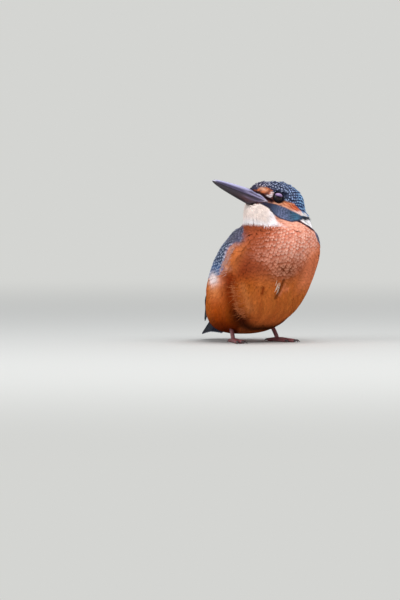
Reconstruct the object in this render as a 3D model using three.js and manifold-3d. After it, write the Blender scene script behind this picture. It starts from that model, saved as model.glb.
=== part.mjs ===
// A common kingfisher standing upright, body facing -Y, head turned to its right, life size.
// Millimetres, +Z up. The sizes below are taken from the point on the ground midway between the
// ankles; the whole bird is then moved so that its origin is under the middle of its overall box.
import * as THREE from "three";
import { mergeVertices } from "three/addons/utils/BufferGeometryUtils.js";
import Module from "manifold-3d";

// ---------- driving dimensions ----------

const GAP = 0.3; // clearance between neighbouring pieces
const ANKLES = [8.68, 1.35]; // where the point midway between the ankles stands from the origin
const RIGHT = -1; // sign of X on the bird's right side
const LEFT = 1;

const TRUNK = {
  middle: 35.6, // height of the fullest level
  halfHeight: 31.5,
  halfWidth: 26.2,
  halfFront: 31.8, // from the axis to the breast
  halfBack: 28.5, // from the axis to the back
  axisY: -5.6, // the axis at the fullest level
  lean: 0.61, // how far the axis goes forward for each mm up
  fullness: 2.6, // exponent of the superellipse; 2 is an ellipse
  rearTaper: 0.12, // narrowing towards the tail, low down at the back
};

const NECK = { base: [3, -16, 50], middle: [1, -18.8, 63], top: [-8, -22, 79.5] };
const THROAT = { chin: [-16.6, -23, 80], middle: [-12, -22.5, 69], base: [-4, -19, 57] };


const HEAD = {
  centre: [-3, -22, 75.9],
  yaw: -85, // degrees; negative turns the head to the bird's right
  pitch: 17, // degrees; positive lifts the bill
  front: 18.5, // forehead feathers, ahead of the centre
  back: 20.5, // nape feathers, behind it
};

const BILL = {
  culmen: 26.1, // length of the ridge beyond the forehead feathers
  rooted: 9, // length hidden in the head
  axisZ: -2.3, // its line at the root, below the head's own axis
  tipZ: -0.9,
  halfDepth: 4.5,
  halfBreadth: 4.1,
};

const EYE = { radius: 3.0, forward: 5.4, aside: 7.9, up: 1.5 };

// The wing's line over the trunk, from its bend to its tip: heights, and bearings in degrees from
// straight out to the side (towards the back is positive).
const WING = {
  heights: [60, 54, 44, 32.5, 21],
  bearings: [-20, 3, 27, 47, 66],
  lift: [-0.4, 0.6, 0.1, -0.3, 0.9], // of its middle above the trunk
  camber: 1 / 62,
};
const PRIMARIES = { halfBreadth: 4.2, halfThickness: 1.0 };
const TAIL = { halfBreadth: 8.6, halfThickness: 1.1, base: [0, 22, 25], tip: [0, 42.5, 2.6] };

const TARSUS = { radius: 1.15, top: 11, lean: 5.5 };
const FEET = {
  [RIGHT]: { x: -13.2, y: 1.5, turn: -12 },
  [LEFT]: { x: 13.2, y: -2, turn: 6 },
};
// Each toe: its angle from straight ahead (outwards is positive), length and thickness.
const TOES = {
  inner: { angle: -13, length: 9.6, radius: 1.12 },
  middle: { angle: 3, length: 13.2, radius: 1.25 },
  outer: { angle: 14, length: 12, radius: 1.15 },
  hind: { angle: 184, length: 6.6, radius: 1.15 },
};
const CLAW = { length: 3.1, radius: 0.72, point: 0.26 };
const SOLE = 0.35; // how far the toe pads are flattened

// ---------- finishes ----------

const finish = (color, roughness) =>
  new THREE.MeshStandardMaterial({ color, roughness, metalness: 0 });
const ORANGE = finish(0xb45b22, 0.8);
const BLUE = finish(0x1f4a68, 0.6);
const DARK_BLUE = finish(0x1c3144, 0.6);
const WHITE = finish(0xeee2d2, 0.85);
const HORN = finish(0x2b2830, 0.35);
const EYE_BLACK = finish(0x0d0a0a, 0.05);
const LEG_RED = finish(0x8a3a32, 0.5);
const CLAW_BLACK = finish(0x1c1716, 0.35);

// ---------- helpers ----------

const wasm = await Module();
wasm.setup();

const vector = (p) => new THREE.Vector3(...p);
const radians = THREE.MathUtils.degToRad;

/** A smooth function of t from 0 to 1 through evenly spaced values. */
function through(...values) {
  const curve = new THREE.SplineCurve(
    values.map((v, i) => new THREE.Vector2(i / (values.length - 1), v)),
  );
  return (t) => curve.getPoint(t).y;
}

/** The same function with both ends closed round, as on an ellipsoid. */
function rounded(size) {
  return (t) => 2 * Math.sqrt(Math.max(0, t * (1 - t))) * size(t);
}

/** A closed geometry as a solid that can be joined and cut. */
function solid(geometry) {
  const bare = geometry.index ? geometry.toNonIndexed() : geometry.clone();
  bare.deleteAttribute("normal");
  bare.deleteAttribute("uv");
  const merged = mergeVertices(bare, 1e-4);
  return new wasm.Manifold(
    new wasm.Mesh({
      numProp: 3,
      vertProperties: merged.attributes.position.array,
      triVerts: new Uint32Array(merged.index.array),
    }),
  );
}

/** A solid as a named mesh. */
function piece(name, shape, material) {
  const { vertProperties, triVerts, numProp } = shape.getMesh();
  const corners = new Float32Array((vertProperties.length / numProp) * 3);
  for (let i = 0; i < corners.length / 3; i++)
    corners.set(vertProperties.subarray(i * numProp, i * numProp + 3), i * 3);
  const geometry = new THREE.BufferGeometry()
    .setAttribute("position", new THREE.BufferAttribute(corners, 3))
    .setIndex(new THREE.BufferAttribute(triVerts, 1));
  geometry.computeVertexNormals();
  const mesh = new THREE.Mesh(geometry, material);
  mesh.name = name;
  return mesh;
}

/** The largest connected body of a solid: a cut may leave slivers. */
function largest(shape) {
  return shape.decompose().sort((a, b) => b.volume() - a.volume())[0];
}

/**
 * A long round-ended solid: the poles of a sphere are laid at the ends of a spine. `breadth` and
 * `depth` are half sizes across it, `facing` is the direction that depth is measured in, `camber`
 * bends each section away from it, and `grow` thickens everything, for cutting clearances.
 */
function swept({ spine, breadth, depth, facing, camber = 0, sides = 20, rings = 16, grow = 0 }) {
  const geometry = new THREE.SphereGeometry(1, sides, rings);
  const place = geometry.attributes.position;
  const point = new THREE.Vector3();
  for (let i = 0; i < place.count; i++) {
    point.fromBufferAttribute(place, i);
    const t = THREE.MathUtils.clamp((1 - point.y) / 2, 0, 1);
    const angle = Math.atan2(point.z, point.x);
    const ring = Math.hypot(point.x, point.z);
    const along = spine.getTangent(t);
    const side = facing(t).clone().cross(along).normalize();
    const out = along.clone().cross(side);
    const b = Math.cos(angle) * (breadth(t) + grow * ring);
    const d = Math.sin(angle) * (depth(t) + grow * ring) - camber * b * b;
    const at = spine.getPoint(t).addScaledVector(along, -point.y * grow);
    at.addScaledVector(side, b).addScaledVector(out, d);
    place.setXYZ(i, at.x, at.y, at.z);
  }
  return solid(geometry);
}

const curve = (...points) => new THREE.CatmullRomCurve3(points.map(vector));
const straight = (a, b) => new THREE.LineCurve3(vector(a), vector(b));
const mirrored = (side, points) => points.map(([x, y, z]) => [x * side, y, z]);
const UP = () => new THREE.Vector3(0, 0, 1);

// ---------- head, in its own frame: bill along -Y, crown up ----------

const headGroup = new THREE.Group();
headGroup.position.set(...HEAD.centre);
headGroup.rotation.set(-radians(HEAD.pitch), 0, radians(HEAD.yaw), "ZYX");
headGroup.updateMatrixWorld(true);

/** The feathered head: low forehead, crown highest behind the eye, full nape. */
function headShape(grow = 0) {
  const { front, back } = HEAD;
  const step = (front + back) / 3;
  return swept({
    spine: curve([0, back, 1.2], [0, back - step, 1.8], [0, step - front, 0.6], [0, -front, -2.6]),
    breadth: rounded(through(10.5, 11.6, 10.9, 8.4)),
    depth: rounded(through(9.6, 10.2, 9.9, 8.8)),
    facing: UP,
    sides: 22,
    rings: 15,
    grow,
  });
}

/** The whole dagger bill, before it is parted along the gape. */
function billShape(grow = 0) {
  const { culmen, rooted, axisZ, tipZ, halfDepth, halfBreadth } = BILL;
  const base = -HEAD.front + rooted;
  const tip = -HEAD.front - culmen;
  // Quickly round at the hidden root, then a taper that stays full to near the blunt point.
  const taper = (t) => Math.min(1, Math.sqrt(t * 9)) * (1 - t) ** 0.5 * 1.06;
  return swept({
    spine: straight([0, base, axisZ], [0, tip, tipZ]),
    breadth: (t) => halfBreadth * taper(t),
    depth: (t) => halfDepth * taper(t),
    facing: UP,
    sides: 14,
    rings: 14,
    grow,
  });
}

/** Upper and lower mandible, parted by the line of the gape. */
function mandibles() {
  const slit = new THREE.BoxGeometry(30, 90, GAP);
  slit.translate(0, -HEAD.front, BILL.axisZ - 0.2);
  const halves = billShape().subtract(solid(slit)).decompose();
  const heightOf = (m) => m.boundingBox().max[2];
  return halves.sort((a, b) => heightOf(b) - heightOf(a)).slice(0, 2);
}

function eyeShape(side, grow = 0) {
  const ball = new THREE.SphereGeometry(EYE.radius + grow, 12, 8);
  ball.translate(side * EYE.aside, -EYE.forward, EYE.up);
  return solid(ball);
}

/** A solid of the head's frame, in the bird's frame. */
const fromHead = (shape) => shape.transform(headGroup.matrixWorld.toArray());

function buildHead() {
  const [upper, lower] = mandibles();
  const skull = headShape()
    .subtract(billShape(GAP))
    .subtract(eyeShape(LEFT, GAP))
    .subtract(eyeShape(RIGHT, GAP));
  headGroup.add(
    piece("head", largest(skull), BLUE),
    piece("bill_upper", upper, HORN),
    piece("bill_lower", lower, HORN),
    piece("eye_left", eyeShape(LEFT), EYE_BLACK),
    piece("eye_right", eyeShape(RIGHT), EYE_BLACK),
  );
  return headGroup;
}

// ---------- trunk and neck ----------

/** A point of the trunk's surface: level from -1 to 1, bearing from the left side to the back. */
function onTrunk(level, bearing, grow = 0) {
  const { fullness, rearTaper, axisY, lean, middle } = TRUNK;
  const ring = Math.max(0, 1 - Math.abs(level) ** fullness) ** (1 / fullness);
  const back = Math.sin(bearing);
  const narrowed = 1 - rearTaper * Math.max(0, back) * ring * (1 - level) * 0.5;
  const reach = (back > 0 ? TRUNK.halfBack : TRUNK.halfFront) + grow;
  const z = level * (TRUNK.halfHeight + grow);
  return new THREE.Vector3(
    Math.cos(bearing) * ring * (TRUNK.halfWidth + grow) * narrowed,
    axisY - lean * z + back * ring * reach,
    middle + z,
  );
}

/** The outward direction at a point of the trunk's surface. */
function outOfTrunk(level, bearing) {
  const nudge = 0.01;
  const here = onTrunk(level, bearing);
  const round = onTrunk(level, bearing + nudge).sub(here);
  return round.cross(onTrunk(level + nudge, bearing).sub(here)).normalize();
}

/** The plumage of the body: a leaning superellipsoid, narrower low down towards the tail. */
function trunkShape(grow = 0) {
  const geometry = new THREE.SphereGeometry(1, 30, 18);
  const place = geometry.attributes.position;
  for (let i = 0; i < place.count; i++) {
    const polar = place.getY(i);
    const level = Math.sign(polar) * Math.abs(polar) ** (2 / TRUNK.fullness);
    const bearing = Math.atan2(-place.getZ(i), place.getX(i));
    place.setXYZ(i, ...onTrunk(level, bearing, grow));
  }
  return solid(geometry);
}

/** The neck, twisted with the head: round below, longer than wide where the head sits on it. */
function neckShape(grow = 0) {
  const column = (t) => rounded(() => 1)(t) ** 0.4;
  const breadth = through(20, 20, 19, 19.4);
  const depth = through(20, 20, 16, 8.5);
  return swept({
    spine: curve(NECK.base, NECK.middle, NECK.top),
    breadth: (t) => column(t) * breadth(t),
    depth: (t) => column(t) * depth(t),
    facing: () => new THREE.Vector3(0, -1, 0.2),
    sides: 22,
    rings: 10,
    grow,
  });
}

/** The loose throat feathers that hang straight down from the chin to the breast. */
function throatShape(grow = 0) {
  const column = (t) => rounded(() => 1)(t) ** 0.45;
  const breadth = through(5.5, 8.5, 12, 14);
  const depth = through(8.2, 9.6, 11, 12);
  return swept({
    spine: curve(THROAT.chin, THROAT.middle, THROAT.base),
    breadth: (t) => column(t) * breadth(t),
    depth: (t) => column(t) * depth(t),
    facing: () => new THREE.Vector3(-1, 0, 0),
    sides: 16,
    rings: 9,
    grow,
  });
}

// ---------- wings and tail ----------

/** The folded wing from its bend at the shoulder to the tips of the inner quills. */
function wingShape(side, grow = 0) {
  const level = (i) => (WING.heights[i] - TRUNK.middle) / TRUNK.halfHeight;
  const bearing = (i) => radians(WING.bearings[i]);
  const sided = (p) => p.multiply(new THREE.Vector3(side, 1, 1));
  const outward = WING.heights.map((_, i) => sided(outOfTrunk(level(i), bearing(i))));
  const route = outward.map((out, i) =>
    sided(onTrunk(level(i), bearing(i))).addScaledVector(out, WING.lift[i]),
  );
  const lean = new THREE.CatmullRomCurve3(outward);
  return swept({
    spine: new THREE.CatmullRomCurve3(route),
    breadth: rounded(through(9, 11.8, 11.6, 9.2, 6.2)),
    depth: rounded(through(2.8, 2.5, 2.3, 2, 1.5)),
    facing: (t) => lean.getPoint(t),
    camber: WING.camber,
    sides: 14,
    rings: 13,
    grow,
  });
}

/** The long primaries, which stand out from under the folded wing over the rump. */
function primariesShape(side, grow = 0) {
  const route = mirrored(side, [
    [11.5, 24.5, 25],
    [8.6, 32.5, 17.5],
    [5.6, 39, 10],
  ]);
  return swept({
    spine: curve(...route),
    breadth: rounded(through(4.6, PRIMARIES.halfBreadth, 2.6)),
    depth: rounded(through(1.1, PRIMARIES.halfThickness, 0.8)),
    facing: () => vector([side * 8, 18, 13]),
    sides: 10,
    rings: 8,
    grow,
  });
}

/** The short square tail. */
function tailShape(grow = 0) {
  const spread = through(0.72, 0.9, 1.15, 1.5);
  return swept({
    spine: straight(TAIL.base, TAIL.tip),
    breadth: (t) => TAIL.halfBreadth * rounded(spread)(t) ** 0.5 * 0.86,
    depth: rounded(() => TAIL.halfThickness),
    facing: () => new THREE.Vector3(0, 1, 1),
    camber: 1 / 90,
    sides: 14,
    rings: 10,
    grow,
  });
}

// ---------- legs ----------

/** The bare shank, from inside the belly feathers to the foot. */
function tarsusShape(side, grow = 0) {
  const { x, y } = FEET[side];
  return swept({
    spine: straight([x - side * 1.5, y + TARSUS.lean, TARSUS.top + 2], [x, y, 1.4]),
    breadth: rounded(() => TARSUS.radius * 1.1),
    depth: rounded(() => TARSUS.radius * 1.2),
    facing: () => new THREE.Vector3(0, 1, 0),
    sides: 8,
    rings: 6,
    grow,
  });
}

/** The direction of a toe on the ground. */
function heading(side, toe) {
  const turn = radians(FEET[side].turn + side * toe.angle);
  return new THREE.Vector3(Math.sin(turn), -Math.cos(turn), 0);
}

function toeShape(side, toe, grow = 0) {
  const { x, y } = FEET[side];
  const way = heading(side, toe);
  const height = toe.radius - SOLE;
  const root = new THREE.Vector3(x, y, height + 0.35);
  const bend = root.clone().addScaledVector(way, toe.length * 0.5).setZ(height + 0.2);
  const end = root.clone().addScaledVector(way, toe.length).setZ(height);
  return swept({
    spine: new THREE.CatmullRomCurve3([root, bend, end]),
    breadth: (t) => rounded(() => 1)(t) ** 0.6 * toe.radius * (1.08 - 0.22 * t),
    depth: (t) => rounded(() => 1)(t) ** 0.6 * toe.radius * (1 - 0.08 * t),
    facing: UP,
    sides: 8,
    rings: 7,
    grow,
  });
}

/** All that lies below the ground, to cut level soles. */
function below() {
  const slab = new THREE.BoxGeometry(200, 200, 10);
  slab.translate(0, 0, -5);
  return solid(slab);
}

/** The foot: three forward toes joined at their roots, a hind toe and the pad between them. */
function footShape(side, grow = 0) {
  const { x, y } = FEET[side];
  const pad = new THREE.SphereGeometry(1, 12, 8);
  pad.scale(2.1 + grow, 2.6 + grow, 1.5 + grow);
  pad.translate(x, y - 0.6, 1.25);
  return Object.values(TOES).reduce(
    (foot, toe) => foot.add(toeShape(side, toe, grow)),
    solid(pad),
  );
}

/** A curved claw from the end of a toe, its point on the ground. */
function clawShape(side, toe) {
  const { x, y } = FEET[side];
  const way = heading(side, toe);
  const start = new THREE.Vector3(x, y, 0).addScaledVector(way, toe.length - 0.5);
  const rise = toe.radius - SOLE;
  const spine = new THREE.QuadraticBezierCurve3(
    start.clone().setZ(rise),
    start.clone().addScaledVector(way, CLAW.length * 0.6).setZ(rise + 0.9),
    start.clone().addScaledVector(way, CLAW.length).setZ(CLAW.point + 0.05),
  );
  const size = (t) => Math.min(1, 6 * Math.sqrt(t * (1 - t))) * (CLAW.radius * (1 - t) + CLAW.point * t);
  return swept({ spine, breadth: size, depth: size, facing: UP, sides: 6, rings: 6 });
}

function buildLeg(side, name) {
  const leg = new THREE.Group();
  const shank = tarsusShape(side);
  const foot = footShape(side).subtract(tarsusShape(side, GAP)).subtract(below());
  leg.add(piece(`tarsus_${name}`, shank, LEG_RED), piece(`foot_${name}`, largest(foot), LEG_RED));
  for (const [toeName, toe] of Object.entries(TOES)) {
    const claw = clawShape(side, toe).subtract(footShape(side, GAP)).subtract(below());
    leg.add(piece(`claw_${name}_${toeName}`, largest(claw), CLAW_BLACK));
  }
  return leg;
}

// ---------- the bird ----------

const bird = new THREE.Group();
bird.add(buildHead());

const headCutter = fromHead(headShape(GAP).add(billShape(GAP)));
const neck = neckShape().add(throatShape()).subtract(headCutter);
const neckCutter = neckShape(GAP).add(throatShape(GAP)).add(headCutter);
let trunk = trunkShape().subtract(neckCutter).subtract(tailShape(GAP));

for (const [side, name] of [
  [RIGHT, "right"],
  [LEFT, "left"],
]) {
  const wing = wingShape(side).subtract(neckCutter).subtract(tailShape(GAP));
  const quills = primariesShape(side).subtract(wingShape(side, GAP)).subtract(tailShape(GAP));
  trunk = trunk
    .subtract(wingShape(side, GAP))
    .subtract(primariesShape(side, GAP))
    .subtract(tarsusShape(side, GAP));
  bird.add(
    piece(`wing_${name}`, largest(wing), BLUE),
    piece(`primaries_${name}`, largest(quills), DARK_BLUE),
    buildLeg(side, name),
  );
}

bird.add(
  piece("neck", largest(neck), WHITE),
  piece("trunk", largest(trunk), ORANGE),
  piece("tail", tailShape(), DARK_BLUE),
);

bird.position.set(...ANKLES, 0);

const kingfisher = new THREE.Group();
kingfisher.name = "kingfisher";
kingfisher.add(bird);
export default kingfisher;
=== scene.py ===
# %% [markdown]
# # A common kingfisher, life size
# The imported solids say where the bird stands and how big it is. Everything seen is made round
# them here: one skin, a coat of separate feather vanes, quills, bill, eyes, legs and claws.
# A feathered animal could be one textured blob, but real vanes give the true broken outline
# and the small shadows between feathers, so they are worth their triangles.

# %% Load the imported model
import math
from collections import deque

import bmesh
import bpy
import numpy as np
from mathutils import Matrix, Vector
from mathutils.bvhtree import BVHTree


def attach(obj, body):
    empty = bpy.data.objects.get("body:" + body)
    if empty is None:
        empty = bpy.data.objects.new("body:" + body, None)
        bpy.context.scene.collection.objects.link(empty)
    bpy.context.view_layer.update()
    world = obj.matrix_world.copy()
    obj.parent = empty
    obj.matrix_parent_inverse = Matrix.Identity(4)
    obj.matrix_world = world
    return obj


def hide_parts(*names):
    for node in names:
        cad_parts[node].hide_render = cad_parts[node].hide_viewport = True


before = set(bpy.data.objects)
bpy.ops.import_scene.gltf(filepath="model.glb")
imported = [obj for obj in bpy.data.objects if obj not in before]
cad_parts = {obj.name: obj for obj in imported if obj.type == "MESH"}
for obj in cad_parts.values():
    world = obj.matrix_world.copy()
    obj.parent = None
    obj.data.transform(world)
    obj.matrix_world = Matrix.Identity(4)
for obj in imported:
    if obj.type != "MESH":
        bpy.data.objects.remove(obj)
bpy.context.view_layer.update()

MM = 0.001
rng = np.random.default_rng(7)
# The ground point between the ankles, in the frame. Every size below is in mm from there:
# +X is the bird's left, -Y the way its breast faces, +Z up.
ANKLES = np.array([8.68, 1.35, 0.0])


def mix(a, b, t):
    """From a to b as t goes from 0 to 1, for numbers or rows of numbers."""
    return a + (b - a) * t


def ease(low, high, x):
    """0 below low, 1 above high, smooth between."""
    t = np.clip((x - low) / (high - low), 0, 1)
    return t * t * (3 - 2 * t)


def unit(v):
    """Rows of vectors, each made one long."""
    return v / np.maximum(np.linalg.norm(v, axis=-1, keepdims=True), 1e-9)


def paint(red, green, blue):
    """A colour written as on a screen, 0 to 255, as the light values that Blender mixes."""
    c = np.array([red, green, blue]) / 255
    return np.where(c <= 0.04045, c / 12.92, ((c + 0.055) / 1.055) ** 2.4)


def curve(points, count):
    """Places at even steps along a smooth line through the given points."""
    p = np.array(points, float)
    p = np.concatenate([[2 * p[0] - p[1]], p, [2 * p[-1] - p[-2]]])
    t = np.linspace(0, len(points) - 1, count)
    i = np.minimum(t.astype(int), len(points) - 2)
    f = (t - i)[:, None]
    a, b, c, d = p[i], p[i + 1], p[i + 2], p[i + 3]
    return 0.5 * (2 * b + (c - a) * f + (2 * a - 5 * b + 4 * c - d) * f**2 + (3 * b - a - 3 * c + d) * f**3)


# %% [markdown]
# ## Camera, floor and light
# The bird is seen from a little above the ground, from its right front, through a long lens, so
# that near and far feathers keep the same scale. A portrait lens close by would swell the
# breast. The lens stays plain: no shift and no blur.

# %% Camera
BEARING = math.radians(-35)  # round the bird from straight ahead, towards its right
ABOVE = math.radians(2.5)
DISTANCE = 3000.0
FRAME_HEIGHT = 324.0  # what the long side of the view spans at the bird, mm
AIM = (-29.7, 22.7)  # middle of the view, right of the ankles and above them, mm
SENSOR = 36

toward_camera = np.array([
    math.sin(BEARING) * math.cos(ABOVE),
    -math.cos(BEARING) * math.cos(ABOVE),
    math.sin(ABOVE),
])
view_right = np.array([math.cos(BEARING), math.sin(BEARING), 0.0])
view_up = np.cross(toward_camera, view_right)
aim = ANKLES + AIM[0] * view_right + AIM[1] * view_up

lens = bpy.data.cameras.new("camera")
lens.sensor_width = SENSOR
lens.lens = SENSOR * DISTANCE / FRAME_HEIGHT
lens.clip_start, lens.clip_end = 0.1, 20
camera = bpy.data.objects.new("camera", lens)
bpy.context.scene.collection.objects.link(camera)
camera.location = Vector((aim + toward_camera * DISTANCE) * MM)
camera.rotation_mode = "QUATERNION"
camera.rotation_quaternion = Vector(-toward_camera).to_track_quat("-Z", "Y")
bpy.context.scene.camera = camera
bpy.context.scene.view_settings.view_transform = "Standard"
print("lens", round(lens.lens), "mm")

# %% [markdown]
# A material is a graph of nodes. Written out, each node takes several lines, so these helpers
# add one in a line: a tint with a pattern over it, a colour between two, and fine relief.

# %% Node helpers
def new_material(name, settings=()):
    """An empty node material and its Principled shader, with some of its inputs set."""
    made = bpy.data.materials.new(name)
    made.use_nodes = True
    made.node_tree.nodes.clear()
    shader = made.node_tree.nodes.new("ShaderNodeBsdfPrincipled")
    out = made.node_tree.nodes.new("ShaderNodeOutputMaterial")
    made.node_tree.links.new(shader.outputs[0], out.inputs["Surface"])
    for key, value in dict(settings).items():
        shader.inputs[key].default_value = value
    return made, shader


def node(material, kind, _inputs=(), **settings):
    """A node of a kind, its settings set and its inputs given as numbers or other sockets."""
    made = material.node_tree.nodes.new("ShaderNode" + kind)
    for key, value in settings.items():
        setattr(made, key, value)
    for key, value in dict(_inputs).items():
        if isinstance(value, bpy.types.NodeSocket):
            material.node_tree.links.new(value, made.inputs[key])
        else:
            made.inputs[key].default_value = value
    return made.outputs[0]


def wire(material, source, target):
    """A link from one socket to another."""
    material.node_tree.links.new(source, target)


def object_place(material):
    """Where a point lies in its object, in metres."""
    return node(material, "TexCoord").node.outputs["Object"]


def tinted(material, shader, pattern, *span):
    """Base colour from the tint of the corners, made lighter and darker by a pattern. span
    is what the pattern's lows and highs turn into, after where they lie if not at 0 and 1."""
    keys = (1, 2, 3, 4) if len(span) == 4 else (3, 4)
    tint = node(material, "Attribute", attribute_name="tint")
    tone = node(material, "MapRange", {0: pattern, **dict(zip(keys, span))})
    colour = node(material, "VectorMath", {0: tint, "Scale": tone}, operation="SCALE")
    wire(material, colour, shader.inputs["Base Color"])


def two_tone(material, pattern, low, high):
    """A colour between two, by a pattern. Either may be a colour or another socket."""
    ends = [end if isinstance(end, bpy.types.NodeSocket) else (*end, 1) for end in (low, high)]
    return node(material, "MixRGB", {0: pattern, 1: ends[0], 2: ends[1]})


def bumped(material, shader, pattern, strength, depth):
    """Fine relief from a pattern, depth in mm."""
    relief = node(material, "Bump", {"Strength": strength, "Distance": depth * MM, "Height": pattern})
    wire(material, relief, shader.inputs["Normal"])


# %% [markdown]
# The floor is a wide pale disc that fades into the same pale world, so no horizon line crosses
# behind the bird. One big soft lamp stands for the sky overhead, a second, weaker one fills
# from the other side, and the world adds an even glow.

# %% Floor and world
PALE = (0.66, 0.665, 0.645, 1)
FLOOR_RADIUS, FLOOR_SIDES = 5, 64  # metres and corners

floor_mesh = bpy.data.meshes.new("floor")
turns = np.linspace(0, 2 * math.pi, FLOOR_SIDES, False)
ring = [(FLOOR_RADIUS * math.cos(a), FLOOR_RADIUS * math.sin(a), 0) for a in turns]
floor_mesh.from_pydata(ring, [], [list(range(FLOOR_SIDES))])
floor = bpy.data.objects.new("floor", floor_mesh)
bpy.context.scene.collection.objects.link(floor)

floor_paint, shader = new_material("floor_paint", {"Roughness": 0.9, "Specular IOR Level": 0.1})
place = object_place(floor_paint)
distance = node(floor_paint, "VectorMath", {0: place}, operation="LENGTH").node.outputs["Value"]
fade = node(floor_paint, "MapRange", {0: distance, 1: 0.12, 2: 0.9}, interpolation_type="SMOOTHSTEP")
speckle = node(floor_paint, "TexNoise", {"Vector": place, "Scale": 900.0})
floor_tone = two_tone(floor_paint, speckle, (0.60, 0.60, 0.585), (0.66, 0.66, 0.645))
wire(floor_paint, floor_tone, shader.inputs["Base Color"])
glow = node(floor_paint, "Emission", {0: PALE, 1: 1.0})
blend = node(floor_paint, "MixShader", {0: fade, 1: shader.outputs[0], 2: glow})
wire(floor_paint, blend, floor_paint.node_tree.nodes["Material Output"].inputs["Surface"])
floor_mesh.materials.append(floor_paint)

world = bpy.data.worlds.new("world")
bpy.context.scene.world = world
world.use_nodes = True
nodes, links = world.node_tree.nodes, world.node_tree.links
nodes.clear()
lit = nodes.new("ShaderNodeBackground")
lit.inputs[0].default_value = (0.93, 0.97, 1.0, 1)
lit.inputs[1].default_value = 0.42
seen = nodes.new("ShaderNodeBackground")
seen.inputs[0].default_value = PALE
ray = nodes.new("ShaderNodeLightPath")
pick = nodes.new("ShaderNodeMixShader")
out = nodes.new("ShaderNodeOutputWorld")
links.new(ray.outputs["Is Camera Ray"], pick.inputs[0])
links.new(lit.outputs[0], pick.inputs[1])
links.new(seen.outputs[0], pick.inputs[2])
links.new(pick.outputs[0], out.inputs["Surface"])


# %% Lamps
HEART = ANKLES + np.array([0, -8, 45.0])


def softbox(name, right, toward, up, size, watts):
    """A square lamp aimed at the breast, placed in mm from it as the camera sees it."""
    ahead = np.array([math.sin(BEARING), -math.cos(BEARING), 0])
    spot = HEART + view_right * right + ahead * toward + np.array([0, 0, up])
    data = bpy.data.lights.new(name, "AREA")
    data.size, data.energy = size * MM, watts
    lamp = bpy.data.objects.new(name, data)
    bpy.context.scene.collection.objects.link(lamp)
    lamp.location = Vector(spot * MM)
    lamp.rotation_mode = "QUATERNION"
    lamp.rotation_quaternion = Vector(HEART - spot).to_track_quat("-Z", "Y")


softbox("sky_lamp", 250, 380, 800, 700, 7.8)
softbox("fill_lamp", -700, 450, 320, 600, 3.4)

# %% [markdown]
# ## Making meshes
# Thousands of feathers would be slow to build one by one, so corners and faces are kept as
# NumPy arrays and handed to Blender in one go. This helper does that for every piece.

# %% A mesh from arrays
def make_piece(name, corners, faces, flat=0):
    """An object from corners in mm and blocks of equal-sided faces; the last `flat` blocks
    are shaded flat."""
    blocks = [np.asarray(block, np.int32) for block in faces]
    starts, total = [], 0
    for block in blocks:
        starts.append(total + np.arange(len(block)) * block.shape[1])
        total += block.size
    mesh = bpy.data.meshes.new(name)
    mesh.vertices.add(len(corners))
    mesh.vertices.foreach_set("co", ((corners + ANKLES) * MM).astype(np.float32).ravel())
    mesh.loops.add(total)
    mesh.loops.foreach_set("vertex_index", np.concatenate([b.ravel() for b in blocks]))
    mesh.polygons.add(sum(len(b) for b in blocks))
    mesh.polygons.foreach_set("loop_start", np.concatenate(starts).astype(np.int32))
    smooth = np.concatenate([
        np.full(len(b), i < len(blocks) - flat) for i, b in enumerate(blocks)
    ])
    mesh.polygons.foreach_set("use_smooth", smooth)
    mesh.update(calc_edges=True)
    made = bpy.data.objects.new(name, mesh)
    bpy.context.scene.collection.objects.link(made)
    return made


def give_map(piece, name, uv):
    """A UV map from one (u, v) row for each corner."""
    mesh = piece.data
    layer = mesh.uv_layers.new(name=name)
    index = np.empty(len(mesh.loops), np.int32)
    mesh.loops.foreach_get("vertex_index", index)
    layer.data.foreach_set("uv", uv[index].astype(np.float32).ravel())


def give_tint(piece, tint):
    """A colour for each corner, which the materials read."""
    layer = piece.data.color_attributes.new("tint", "FLOAT_COLOR", "POINT")
    rgba = np.ones((len(tint), 4), np.float32)
    rgba[:, :3] = tint
    layer.data.foreach_set("color", rgba.ravel())


def finish_piece(piece, material, slot, *replaced):
    """Material, body, and the solids that the piece stands for; slot is not used."""
    piece.data.materials.append(material)
    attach(piece, "root")
    if replaced:
        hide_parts(*replaced)
    print(piece.name, len(piece.data.polygons), "faces")


# %% [markdown]
# ## The skin
# Under its feathers a bird is one smooth bag of skin. The solids of flesh are parted by thin
# cuts, so copies of them are swollen a little, remeshed as one closed volume and smoothed: the
# voxel remesh closes every cut without any stitching. The skin is then sunk below the solids by
# the depth of the coat, so that the tips of the feathers end up where the solids end.

# %% Join the flesh
FLESH = ["trunk", "neck", "head", "wing_left", "wing_right"]
CLOSE_CUTS = 0.22  # swelling, mm
VOXEL = 0.8
# Middles and radii of flesh that fills the hollows where the solids are cut for each other.
ROOT_OF_TAIL = (0, 23, 24), (9, 7, 6)
UNDER_NECK = (0, -14, 62), (15, 15, 14)


def node_shape(name):
    """A solid of the frame as a bmesh, in mm from the ankles."""
    shape = bmesh.new()
    shape.from_mesh(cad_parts[name].data)
    for v in shape.verts:
        v.co = v.co / MM - Vector(ANKLES)
    bmesh.ops.remove_doubles(shape, verts=shape.verts, dist=0.01)
    shape.normal_update()
    return shape


def blob(centre, radii):
    """An ellipsoid of flesh where the solids leave a hollow."""
    shape = bmesh.new()
    bmesh.ops.create_icosphere(shape, subdivisions=3, radius=1)
    for v in shape.verts:
        v.co = Vector(c * r + m for c, r, m in zip(v.co, radii, centre))
    shape.normal_update()
    return shape


def read_mesh(mesh):
    """Corners and triangles of a Blender mesh."""
    corners = np.empty(len(mesh.vertices) * 3, np.float32)
    mesh.vertices.foreach_get("co", corners)
    mesh.calc_loop_triangles()
    triangles = np.empty(len(mesh.loop_triangles) * 3, np.int32)
    mesh.loop_triangles.foreach_get("vertices", triangles)
    return corners.reshape(-1, 3).astype(float), triangles.reshape(-1, 3)


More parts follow.
